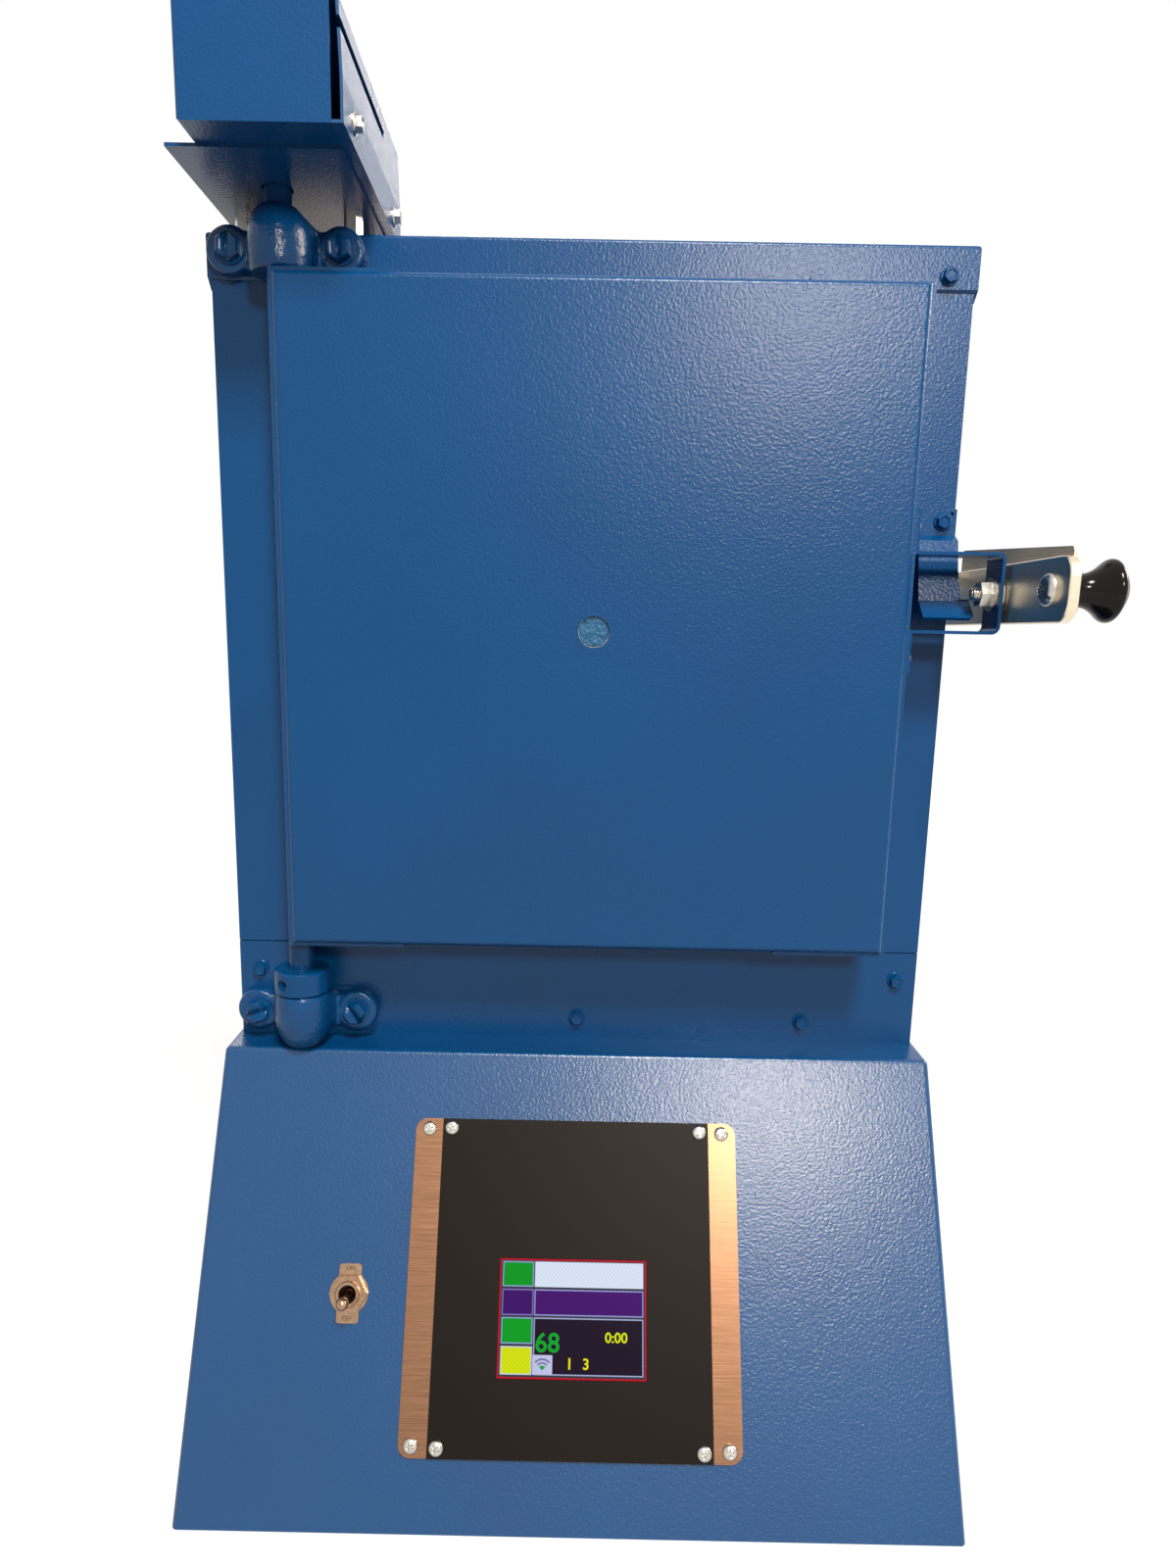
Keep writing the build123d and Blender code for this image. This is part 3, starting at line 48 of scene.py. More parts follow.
# Camera: half a metre in front of the door, level with its middle, looking a
# little down, with the wide lens and the small roll that the photograph has.
yaw = math.radians(-0.14)
pitch = math.radians(-10.486)
roll = math.radians(1.094)
focal_pixels = 1022.5
frame_pixels = (1200, 1600)
axis_pixel = (580.5, 836.9)
film_width = 36
camera_place = (-5.158 * mm, -522.973 * mm, 417.138 * mm)

ahead = Vector((math.sin(yaw) * math.cos(pitch), math.cos(yaw) * math.cos(pitch), math.sin(pitch)))
level = Vector((math.cos(yaw), -math.sin(yaw), 0))
upright = level.cross(ahead)
right = level * math.cos(roll) + upright * math.sin(roll)
up = upright * math.cos(roll) - level * math.sin(roll)

camera_data = bpy.data.cameras.new("camera")
camera_data.sensor_fit = "HORIZONTAL"
camera_data.sensor_width = film_width
camera_data.lens = focal_pixels / frame_pixels[0] * film_width
camera_data.shift_x = (frame_pixels[0] / 2 - axis_pixel[0]) / frame_pixels[0]
camera_data.shift_y = (axis_pixel[1] - frame_pixels[1] / 2) / frame_pixels[0]
camera_data.clip_start = 0.01
camera = bpy.data.objects.new("camera", camera_data)
turned = Matrix((right, up, -ahead)).transposed().to_4x4()
camera.matrix_world = Matrix.Translation(camera_place) @ turned
bpy.context.scene.collection.objects.link(camera)
bpy.context.scene.camera = camera
bpy.context.scene.view_settings.view_transform = "Standard"


# Studio: a matt floor under a white surround. The surround is white to the eye
# and in reflections, and lights softly. The floor whitens away from the kiln.
def linear(code):
    """The linear colour of an sRGB hex code."""
    channels = [int(code[i:i + 2], 16) / 255 for i in (1, 3, 5)]
    return tuple(c / 12.92 if c <= 0.04045 else ((c + 0.055) / 1.055) ** 2.4
                 for c in channels) + (1.0,)


def add(tree, kind, inputs=None, **settings):
    """Adds a node with its settings. Its sockets get values or links from other sockets."""
    node = tree.nodes.new(kind)
    for name, value in settings.items():
        setattr(node, name, value)
    for key, value in (inputs or {}).items():
        if isinstance(value, bpy.types.NodeSocket):
            tree.links.new(value, node.inputs[key])
        else:
            node.inputs[key].default_value = value
    return node


def new_material(name):
    """An empty material and its node tree."""
    material = bpy.data.materials.new(name)
    material.use_nodes = True
    material.node_tree.nodes.clear()
    return material, material.node_tree


fill_strength, seen_strength = 0.12, 1.0
floor_glow, glow_from, glow_to = 0.78, 0.7, 2.4

world = bpy.data.worlds.new("white_surround")
world.use_nodes = True
tree = world.node_tree
tree.nodes.clear()
path = add(tree, "ShaderNodeLightPath")
seen = add(tree, "ShaderNodeMath", {0: path.outputs["Is Camera Ray"], 1: path.outputs["Is Glossy Ray"]},
           operation="MAXIMUM")
seen = add(tree, "ShaderNodeMath", {0: seen.outputs[0], 1: path.outputs["Is Transmission Ray"]},
           operation="MAXIMUM")
fill = add(tree, "ShaderNodeBackground", {"Color": linear("#FFFFFF"), "Strength": fill_strength})
white = add(tree, "ShaderNodeBackground", {"Color": linear("#FFFFFF"), "Strength": seen_strength})
both = add(tree, "ShaderNodeMixShader", {0: seen.outputs[0], 1: fill.outputs[0], 2: white.outputs[0]})
add(tree, "ShaderNodeOutputWorld", {"Surface": both.outputs[0]})
bpy.context.scene.world = world

floor_mesh = bpy.data.meshes.new("floor")
floor_mesh.from_pydata([(-6, -3, 0), (6, -3, 0), (6, 8, 0), (-6, 8, 0)], [], [(0, 1, 2, 3)])
floor = bpy.data.objects.new("floor", floor_mesh)
bpy.context.scene.collection.objects.link(floor)
material, tree = new_material("matt_white_floor")
path = add(tree, "ShaderNodeLightPath")
lit = add(tree, "ShaderNodeBsdfDiffuse", {"Color": linear("#8E8E8C")})
away = add(tree, "ShaderNodeVectorMath", {0: add(tree, "ShaderNodeTexCoord").outputs["Object"]},
           operation="LENGTH")
whiter = add(tree, "ShaderNodeMapRange",
             {"Value": away.outputs["Value"], "From Min": glow_from, "From Max": glow_to,
              "To Min": floor_glow, "To Max": seen_strength})
glow = add(tree, "ShaderNodeEmission", {"Color": linear("#FFFFFF"), "Strength": whiter.outputs[0]})
brighter = add(tree, "ShaderNodeAddShader", {0: lit.outputs[0], 1: glow.outputs[0]})
seen = add(tree, "ShaderNodeMath", {0: path.outputs["Is Camera Ray"], 1: path.outputs["Is Glossy Ray"]},
           operation="MAXIMUM")
both = add(tree, "ShaderNodeMixShader", {0: seen.outputs[0], 1: lit.outputs[0], 2: brighter.outputs[0]})
add(tree, "ShaderNodeOutputMaterial", {"Surface": both.outputs[0]})
floor_mesh.materials.append(material)


# Lamps: a ceiling panel in front of the kiln gives most of the light. A small
# warm one at the right behind the camera gives the paint its highlights, and
# soft ones at the right and behind light the sides and the back.
def lamp(name, place, aim, size, watts, colour):
    """A square area lamp at a place, turned to what it lights."""
    data = bpy.data.lights.new(name, "AREA")
    data.size = size
    data.energy = watts
    data.color = linear(colour)[:3]
    lamp_object = bpy.data.objects.new(name, data)
    lamp_object.location = place
    lamp_object.rotation_euler = (Vector(aim) - Vector(place)).to_track_quat("-Z", "Y").to_euler()
    bpy.context.scene.collection.objects.link(lamp_object)


lamp("ceiling_panel", (0.28, -1.32, 2.08), (0, 0, 0.35), 0.45, 48, "#FFFAF4")
lamp("window_panel", (0.52, -2.0, 1.24), (0, 0, 0.25), 0.26, 22, "#FFF6EC")
lamp("side_panel", (2.1, 0.5, 1.5), (0, 0.2, 0.4), 0.9, 42, "#FFE9D6")
lamp("back_panel", (-0.5, 2.7, 1.75), (0, 0.4, 0.3), 0.9, 46, "#FFF0E2")


# Painted sheets: folded steel with a textured blue enamel, sprayed and baked.
# The enamel dries to small pebbles about a millimetre across, half gloss.
def dress(material, *names):
    """Gives CAD nodes a material."""
    for name in names:
        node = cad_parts[name]
        if not node.data.materials:
            node.data.materials.append(material)
        for slot in node.material_slots:
            slot.link = "OBJECT"
            slot.material = material


enamel_blue = "#02497F"
enamel_deep = "#013F70"
pebble_size = 1.3 * mm


def sprayed_enamel(name, specular):
    """The textured blue enamel, with the gloss level of one coat."""
    material, tree = new_material(name)
    place = add(tree, "ShaderNodeTexCoord").outputs["Object"]
    pebbles = add(tree, "ShaderNodeTexNoise",
                  {"Vector": place, "Scale": 1 / pebble_size, "Detail": 2.0, "Roughness": 0.45})
    patches = add(tree, "ShaderNodeTexNoise", {"Vector": place, "Scale": 9.0, "Detail": 3.0})
    tone = add(tree, "ShaderNodeMix",
               {0: patches.outputs[0], 6: linear(enamel_deep), 7: linear(enamel_blue)}, data_type="RGBA")
    rough = add(tree, "ShaderNodeMapRange", {"Value": patches.outputs[0], "To Min": 0.24, "To Max": 0.30})
    bump = add(tree, "ShaderNodeBump",
               {"Height": pebbles.outputs[0], "Strength": 0.45, "Distance": 0.35 * mm})
    paint = add(tree, "ShaderNodeBsdfPrincipled",
                {"Base Color": tone.outputs[2], "Roughness": rough.outputs[0],
                 "Specular IOR Level": specular, "Normal": bump.outputs[0]})
    add(tree, "ShaderNodeOutputMaterial", {"Surface": paint.outputs[0]})
    return material


textured_enamel = sprayed_enamel("textured_blue_enamel", 0.28)
glossier_enamel = sprayed_enamel("glossier_blue_enamel", 0.6)
dress(glossier_enamel, "base_housing", "base_bottom", "base_back", "switch_box_cover")
dress(textured_enamel, "case_front", "case_lower_band", "case_left_side", "case_right_side", "case_back",
      "case_cap", "door_pan", "door_rail_left", "door_rail_right", "switch_box", "switch_box_plate",
      "guide_bracket", "block_shim")

# Painted bar and turned parts: the same blue over smooth steel, so it dries
# to a smooth gloss with only a faint orange peel.
smooth_enamel, tree = new_material("smooth_blue_enamel")
place = add(tree, "ShaderNodeTexCoord").outputs["Object"]
peel = add(tree, "ShaderNodeTexNoise", {"Vector": place, "Scale": 260.0, "Detail": 1.0})
patches = add(tree, "ShaderNodeTexNoise", {"Vector": place, "Scale": 40.0, "Detail": 2.0})
tone = add(tree, "ShaderNodeMix",
           {0: patches.outputs[0], 6: linear(enamel_deep), 7: linear(enamel_blue)}, data_type="RGBA")
bump = add(tree, "ShaderNodeBump", {"Height": peel.outputs[0], "Strength": 0.12, "Distance": 0.3 * mm})
paint = add(tree, "ShaderNodeBsdfPrincipled",
            {"Base Color": tone.outputs[2], "Roughness": 0.22, "Specular IOR Level": 0.22,
             "Normal": bump.outputs[0]})
add(tree, "ShaderNodeOutputMaterial", {"Surface": paint.outputs[0]})
dress(smooth_enamel, "hinge_rod", "shaft_collar", "collar_set_screw", "pillow_washers", "latch_strap")

# Firebrick: soft insulating brick, cream coloured, sawn and grooved. Its cut
# faces show pores of about a millimetre and faint darker spots.
firebrick, tree = new_material("insulating_firebrick")
place = add(tree, "ShaderNodeTexCoord").outputs["Object"]
pores = add(tree, "ShaderNodeTexVoronoi", {"Vector": place, "Scale": 620.0})
grain = add(tree, "ShaderNodeTexNoise", {"Vector": place, "Scale": 180.0, "Detail": 4.0})
stain = add(tree, "ShaderNodeMix",
            {0: grain.outputs[0], 6: linear("#C9B48F"), 7: linear("#E6D8BD")}, data_type="RGBA")
bump = add(tree, "ShaderNodeBump",
           {"Height": pores.outputs["Distance"], "Strength": 0.6, "Distance": 0.6 * mm})
brick = add(tree, "ShaderNodeBsdfPrincipled",
            {"Base Color": stain.outputs[2], "Roughness": 0.95, "Normal": bump.outputs[0]})
add(tree, "ShaderNodeOutputMaterial", {"Surface": brick.outputs[0]})
dress(firebrick, "brick_left", "brick_right", "brick_floor", "brick_roof", "brick_rear", "door_brick")

# Heating elements: resistance wire wound to a coil and laid in the grooves of
# the side bricks. Firing gives the wire a grey brown oxide.
oxidised_wire, tree = new_material("oxidised_resistance_wire")
place = add(tree, "ShaderNodeTexCoord").outputs["Object"]
scale_spots = add(tree, "ShaderNodeTexNoise", {"Vector": place, "Scale": 300.0, "Detail": 2.0})
tone = add(tree, "ShaderNodeMix",
           {0: scale_spots.outputs[0], 6: linear("#3B332D"), 7: linear("#6B6058")}, data_type="RGBA")
wire = add(tree, "ShaderNodeBsdfPrincipled",
           {"Base Color": tone.outputs[2], "Metallic": 0.6, "Roughness": 0.55})
add(tree, "ShaderNodeOutputMaterial", {"Surface": wire.outputs[0]})

door_x, door_z = 3.9 * mm, 418.65 * mm
row_spacing = 22 * mm
run_front, run_rear, run_tail = 45 * mm, 373 * mm, 477.5 * mm
coil_sides = (-68.3 * mm, 76.1 * mm)
bend_steps = 12


def coil_line(x):
    """The middle line of one coil: four runs joined by three round turns."""
    half = row_spacing / 2
    points = [(x, run_tail, door_z + 3 * half)]
    for row, y, side in ((3, run_front, -1), (1, run_rear, 1), (-1, run_front, -1)):
        for step in range(bend_steps + 1):
            angle = math.pi * step / bend_steps
            points.append((x, y + side * half * math.sin(angle),
                           door_z + (row - 1 + math.cos(angle)) * half))
    points.append((x, run_tail, door_z - 3 * half))
    return points


curve = bpy.data.curves.new("coil_lines", "CURVE")
curve.dimensions = "3D"
for x in coil_sides:
    points = coil_line(x)
    spline = curve.splines.new("POLY")
    spline.points.add(len(points) - 1)
    for point, place in zip(spline.points, points):
        point.co = (*place, 1)
coil_lines = bpy.data.objects.new("coil_lines", curve)
bpy.context.scene.collection.objects.link(coil_lines)


def new_group(name, sockets):
    """A geometry group: its tree, the identifiers of its inputs, and its input node's sockets."""
    tree = bpy.data.node_groups.new(name, "GeometryNodeTree")
    identifiers = {label: tree.interface.new_socket(label, in_out="INPUT", socket_type=kind).identifier
                   for label, kind in sockets}
    tree.interface.new_socket("Geometry", in_out="OUTPUT", socket_type="NodeSocketGeometry")
    return tree, identifiers, add(tree, "NodeGroupInput").outputs


tree, inputs, given = new_group("wound_coil", (
    ("Geometry", "NodeSocketGeometry"), ("Coil Radius", "NodeSocketFloat"),
    ("Wire Radius", "NodeSocketFloat"), ("Turns", "NodeSocketFloat"),
    ("Points", "NodeSocketInt"), ("Material", "NodeSocketMaterial")))
resampled = add(tree, "GeometryNodeResampleCurve", {"Curve": given["Geometry"], "Count": given["Points"]})
along = add(tree, "GeometryNodeSplineParameter")
turns = add(tree, "ShaderNodeMath", {0: along.outputs["Factor"], 1: given["Turns"]}, operation="MULTIPLY")
angle = add(tree, "ShaderNodeMath", {0: turns.outputs[0], 1: 2 * math.pi}, operation="MULTIPLY")
spoke = add(tree, "ShaderNodeVectorRotate",
            {"Vector": add(tree, "GeometryNodeInputNormal").outputs[0],
             "Axis": add(tree, "GeometryNodeInputTangent").outputs[0], "Angle": angle.outputs[0]},
            rotation_type="AXIS_ANGLE")
reach = add(tree, "ShaderNodeVectorMath", {0: spoke.outputs[0], "Scale": given["Coil Radius"]},
            operation="SCALE")
helix = add(tree, "GeometryNodeSetPosition", {"Geometry": resampled.outputs[0], "Offset": reach.outputs[0]})
ring = add(tree, "GeometryNodeCurvePrimitiveCircle", {"Resolution": 5, "Radius": given["Wire Radius"]})
tube = add(tree, "GeometryNodeCurveToMesh",
           {"Curve": helix.outputs[0], "Profile Curve": ring.outputs[0], "Fill Caps": True})
real = add(tree, "GeometryNodeRealizeInstances", {"Geometry": tube.outputs[0]})
coated = add(tree, "GeometryNodeSetMaterial", {"Geometry": real.outputs[0], "Material": given["Material"]})
add(tree, "NodeGroupOutput", {0: coated.outputs[0]})

winding = coil_lines.modifiers.new("winding", "NODES")
winding.node_group = tree
winding[inputs["Coil Radius"]] = 3.5 * mm
winding[inputs["Wire Radius"]] = 0.8 * mm
winding[inputs["Turns"]] = 440.0
winding[inputs["Points"]] = 4400
winding[inputs["Material"]] = oxidised_wire


def frozen(name, source):
    """A plain mesh object of what a source object's modifiers make, in place of the source."""
    seen_now = source.evaluated_get(bpy.context.evaluated_depsgraph_get())
    mesh = bpy.data.meshes.new_from_object(seen_now)
    piece = bpy.data.objects.new(name, mesh)
    bpy.context.scene.collection.objects.link(piece)
    bpy.data.objects.remove(source)
    return piece


coils = frozen("heating_coils", coil_lines)
coils.data.shade_smooth()
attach(coils, "kiln")
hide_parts("heating_elements")

# Thermocouple: a white ceramic tube that reaches in through the rear brick.
ceramic, tree = new_material("white_alumina_ceramic")
place = add(tree, "ShaderNodeTexCoord").outputs["Object"]
clouds = add(tree, "ShaderNodeTexNoise", {"Vector": place, "Scale": 120.0, "Detail": 2.0})
tone = add(tree, "ShaderNodeMix",
           {0: clouds.outputs[0], 6: linear("#D8D0C0"), 7: linear("#EFEADF")}, data_type="RGBA")
tube = add(tree, "ShaderNodeBsdfPrincipled", {"Base Color": tone.outputs[2], "Roughness": 0.6})
add(tree, "ShaderNodeOutputMaterial", {"Surface": tube.outputs[0]})
dress(ceramic, "thermocouple")

# Zinc plated ware: screws, nuts, washers, studs and the door's back frame.
# Plating is bright and slightly cloudy, with small differences in its gloss.
zinc_steel, tree = new_material("zinc_plated_steel")
place = add(tree, "ShaderNodeTexCoord").outputs["Object"]
clouds = add(tree, "ShaderNodeTexNoise", {"Vector": place, "Scale": 350.0, "Detail": 3.0})
tone = add(tree, "ShaderNodeMix",
           {0: clouds.outputs[0], 6: linear("#A9A49B"), 7: linear("#D2CDC4")}, data_type="RGBA")
rough = add(tree, "ShaderNodeMapRange", {"Value": clouds.outputs[0], "To Min": 0.18, "To Max": 0.36})
plate = add(tree, "ShaderNodeBsdfPrincipled",
            {"Base Color": tone.outputs[2], "Metallic": 1.0, "Roughness": rough.outputs[0]})
add(tree, "ShaderNodeOutputMaterial", {"Surface": plate.outputs[0]})
dress(zinc_steel, "box_standoffs", "strap_screws", "pivot_nut", "pivot_washers", "latch_post",
      "door_back_frame", "knob_screw")

# Switch ware: the power switch's plate, nut, lever and bushing. Their colour is warmer
# and darker than zinc: a painted reflection of a warm, dim room.
warm_reflection_plating, tree = new_material("nickel_plated_brass")
place = add(tree, "ShaderNodeTexCoord").outputs["Object"]
clouds = add(tree, "ShaderNodeTexNoise", {"Vector": place, "Scale": 420.0, "Detail": 3.0})
tone = add(tree, "ShaderNodeMix",
           {0: clouds.outputs[0], 6: linear("#8F7058"), 7: linear("#BC9A7C")}, data_type="RGBA")
rough = add(tree, "ShaderNodeMapRange", {"Value": clouds.outputs[0], "To Min": 0.2, "To Max": 0.34})
plate = add(tree, "ShaderNodeBsdfPrincipled",
            {"Base Color": tone.outputs[2], "Metallic": 1.0, "Roughness": rough.outputs[0]})
add(tree, "ShaderNodeOutputMaterial", {"Surface": plate.outputs[0]})
dress(warm_reflection_plating, "toggle_nut", "toggle_plate", "toggle_lever")

# Latch lever: a flat bar of stainless steel, cut, ground and buffed bright,
# with fine buffing lines along its length.
# The bar's cream tint is a painted reflection of the room's warm light.
polished_stainless, tree = new_material("polished_stainless_steel")
place = add(tree, "ShaderNodeTexCoord").outputs["Object"]
stretched = add(tree, "ShaderNodeMapping", {"Vector": place, "Scale": (1.0, 0.03, 1.0)})
lines = add(tree, "ShaderNodeTexNoise", {"Vector": stretched.outputs[0], "Scale": 1500.0, "Detail": 2.0})
bump = add(tree, "ShaderNodeBump", {"Height": lines.outputs[0], "Strength": 0.04, "Distance": 0.1 * mm})
steel = add(tree, "ShaderNodeBsdfPrincipled",
            {"Base Color": linear("#E6D8C0"), "Metallic": 1.0, "Roughness": 0.3, "Normal": bump.outputs[0]})
add(tree, "ShaderNodeOutputMaterial", {"Surface": steel.outputs[0]})
dress(polished_stainless, "latch_lever")

# Backing plate of the lever: the same steel, only rolled, so it is satin. Its
# pale gold colour is a painted reflection of the warm light of the room.
satin_stainless, tree = new_material("satin_stainless_steel")
place = add(tree, "ShaderNodeTexCoord").outputs["Object"]
stretched = add(tree, "ShaderNodeMapping", {"Vector": place, "Scale": (1.0, 0.05, 1.0)})
lines = add(tree, "ShaderNodeTexNoise", {"Vector": stretched.outputs[0], "Scale": 900.0, "Detail": 3.0})
tone = add(tree, "ShaderNodeMix",
           {0: lines.outputs[0], 6: linear("#CDB58E"), 7: linear("#F2E2C4")}, data_type="RGBA")
steel = add(tree, "ShaderNodeBsdfPrincipled",
            {"Base Color": tone.outputs[2], "Metallic": 1.0, "Roughness": 0.55})
add(tree, "ShaderNodeOutputMaterial", {"Surface": steel.outputs[0]})
dress(satin_stainless, "lever_backing_plate")

# Brushed steel: the controller's plate, brushed along its short side. The
# lines are drawn 0.4 mm apart, coarser than the real ones.
# Its copper brown tone is a painted reflection of the warm room.
brushed_stainless, tree = new_material("brushed_stainless_steel")
place = add(tree, "ShaderNodeTexCoord").outputs["Object"]
stretched = add(tree, "ShaderNodeMapping", {"Vector": place, "Scale": (0.02, 1.0, 1.0)})
lines = add(tree, "ShaderNodeTexNoise", {"Vector": stretched.outputs[0], "Scale": 2500.0, "Detail": 3.0})
tone = add(tree, "ShaderNodeMix",
           {0: lines.outputs[0], 6: linear("#6F4F3A"), 7: linear("#A67B5E")}, data_type="RGBA")
rough = add(tree, "ShaderNodeMapRange", {"Value": lines.outputs[0], "To Min": 0.24, "To Max": 0.42})
bump = add(tree, "ShaderNodeBump", {"Height": lines.outputs[0], "Strength": 0.12, "Distance": 0.1 * mm})
steel = add(tree, "ShaderNodeBsdfPrincipled",
            {"Base Color": tone.outputs[2], "Metallic": 1.0, "Roughness": rough.outputs[0],
             "Normal": bump.outputs[0]})
add(tree, "ShaderNodeOutputMaterial", {"Surface": steel.outputs[0]})
dress(brushed_stainless, "controller_plate")

# Black phenolic: the knob is moulded and highly polished, and the inlet, relays,
# switch body and reed switch are the same kind of black plastic.
black_phenolic, tree = new_material("black_phenolic")
place = add(tree, "ShaderNodeTexCoord").outputs["Object"]
waves = add(tree, "ShaderNodeTexNoise", {"Vector": place, "Scale": 90.0, "Detail": 1.0})
bump = add(tree, "ShaderNodeBump", {"Height": waves.outputs[0], "Strength": 0.05, "Distance": 0.3 * mm})
plastic = add(tree, "ShaderNodeBsdfPrincipled",
              {"Base Color": linear("#0C0704"), "Roughness": 0.14, "Specular IOR Level": 0.2,
               "Normal": bump.outputs[0]})
add(tree, "ShaderNodeOutputMaterial", {"Surface": plastic.outputs[0]})
dress(black_phenolic, "power_inlet", "power_relays", "controller_housing", "toggle_body",
      "reed_switch", "interlock_magnet")

# Controller face: printed polyester film, matt black with a fine grain.
matt_film, tree = new_material("matt_black_polyester_film")
place = add(tree, "ShaderNodeTexCoord").outputs["Object"]
grain = add(tree, "ShaderNodeTexNoise", {"Vector": place, "Scale": 1400.0, "Detail": 2.0})
bump = add(tree, "ShaderNodeBump", {"Height": grain.outputs[0], "Strength": 0.15, "Distance": 0.1 * mm})
film = add(tree, "ShaderNodeBsdfPrincipled",
           {"Base Color": linear("#150E09"), "Roughness": 0.42, "Specular IOR Level": 0.12,
            "Normal": bump.outputs[0]})
add(tree, "ShaderNodeOutputMaterial", {"Surface": film.outputs[0]})
dress(matt_film, "controller_overlay")

# Display: a small colour panel behind glass. It shows coloured fields and
# plain numbers, each drawn as a thin slab on the glass.
display_glass, tree = new_material("display_glass")
place = add(tree, "ShaderNodeTexCoord").outputs["Object"]
smudges = add(tree, "ShaderNodeTexNoise", {"Vector": place, "Scale": 60.0, "Detail": 2.0})
rough = add(tree, "ShaderNodeMapRange", {"Value": smudges.outputs[0], "To Min": 0.06, "To Max": 0.2})
glass = add(tree, "ShaderNodeBsdfPrincipled",
            {"Base Color": linear("#120B1C"), "Roughness": rough.outputs[0],
             "Emission Color": linear("#1C1030"), "Emission Strength": 0.4})
add(tree, "ShaderNodeOutputMaterial", {"Surface": glass.outputs[0]})
dress(display_glass, "controller_display")

# Sight plug: a short ceramic stopper, its recessed front painted over roughly
# with the door, so the enamel has shrunk and cracked on it.
cracked_enamel, tree = new_material("cracked_blue_enamel")
place = add(tree, "ShaderNodeTexCoord").outputs["Object"]
cracks = add(tree, "ShaderNodeTexVoronoi", {"Vector": place, "Scale": 330.0}, feature="DISTANCE_TO_EDGE")
lumps = add(tree, "ShaderNodeTexNoise", {"Vector": place, "Scale": 420.0, "Detail": 3.0})
height = add(tree, "ShaderNodeMath", {0: cracks.outputs[0], 1: lumps.outputs[0]}, operation="ADD")
tone = add(tree, "ShaderNodeMix",
           {0: lumps.outputs[0], 6: linear("#1F5076"), 7: linear("#3A7096")}, data_type="RGBA")
bump = add(tree, "ShaderNodeBump", {"Height": height.outputs[0], "Strength": 0.9, "Distance": 1.0 * mm})
paint = add(tree, "ShaderNodeBsdfPrincipled",
            {"Base Color": tone.outputs[2], "Roughness": 0.4, "Specular IOR Level": 0.22,
             "Normal": bump.outputs[0]})
add(tree, "ShaderNodeOutputMaterial", {"Surface": paint.outputs[0]})

# Cast blocks: iron castings, painted thickly over the sand-cast skin, which
# stays lumpy under the gloss and glitters on its high spots.
cast_enamel, tree = new_material("blue_enamel_on_cast_iron")
place = add(tree, "ShaderNodeTexCoord").outputs["Object"]
skin = add(tree, "ShaderNodeTexNoise", {"Vector": place, "Scale": 420.0, "Detail": 3.0, "Roughness": 0.6})
swell = add(tree, "ShaderNodeTexNoise", {"Vector": place, "Scale": 110.0, "Detail": 1.0})
height = add(tree, "ShaderNodeMath", {0: skin.outputs[0], 1: swell.outputs[0]}, operation="ADD")
tone = add(tree, "ShaderNodeMix",
           {0: swell.outputs[0], 6: linear(enamel_deep), 7: linear(enamel_blue)}, data_type="RGBA")
bump = add(tree, "ShaderNodeBump", {"Height": height.outputs[0], "Strength": 0.6, "Distance": 0.6 * mm})
paint = add(tree, "ShaderNodeBsdfPrincipled",
            {"Base Color": tone.outputs[2], "Roughness": 0.2, "Specular IOR Level": 0.3,
             "Normal": bump.outputs[0]})
add(tree, "ShaderNodeOutputMaterial", {"Surface": paint.outputs[0]})


merge_distance = 0.002 * mm


def solid(name, shape, smooth_below=35):
    """A mesh object from a bmesh: doubles merged, faces outward, gentle edges smooth."""
    bmesh.ops.remove_doubles(shape, verts=shape.verts, dist=merge_distance)
    bmesh.ops.recalc_face_normals(shape, faces=shape.faces)
    mesh = bpy.data.meshes.new(name)
    shape.to_mesh(mesh)
    shape.free()
    mesh.shade_smooth()
    mesh.set_sharp_from_angle(angle=math.radians(smooth_below))
    piece = bpy.data.objects.new(name, mesh)
    bpy.context.scene.collection.objects.link(piece)
    return piece


def turn(shape, profile, steps, place):
    """Adds a turned form to a bmesh, from (height, radius) points in mm round a place's Z axis."""
    rings = []
    for height, radius in profile:
        angles = [2 * math.pi * step / steps for step in range(steps)] if radius > 0 else [0]
        rings.append([shape.verts.new(place @ Vector((radius * math.cos(a) * mm,
                                                      radius * math.sin(a) * mm, height * mm)))
                      for a in angles])
    for one, two in zip(rings, rings[1:]):
        for step in range(steps):
            after = (step + 1) % steps
            corners = list(dict.fromkeys((one[step % len(one)], one[after % len(one)],
                                          two[after % len(two)], two[step % len(two)])))
            if len(corners) > 2:
                shape.faces.new(corners)


def hull(shape, points):
    """Adds the convex hull of some points, given in metres, to a bmesh."""
    corners = [shape.verts.new(point) for point in points]
    made = bmesh.ops.convex_hull(shape, input=corners)
    spare = [v for v in set(made["geom_interior"] + made["geom_unused"])
             if isinstance(v, bmesh.types.BMVert)]
    bmesh.ops.delete(shape, geom=spare, context="VERTS")


def cut(piece, tool):
    """Takes one object's shape out of another, and removes the tool."""
    boolean = piece.modifiers.new("cut", "BOOLEAN")
    boolean.object = tool
    boolean.solver = "EXACT"
    name = piece.name
    piece.name = name + "_uncut"
    whole = frozen(name, piece)
    bpy.data.objects.remove(tool)
    return whole


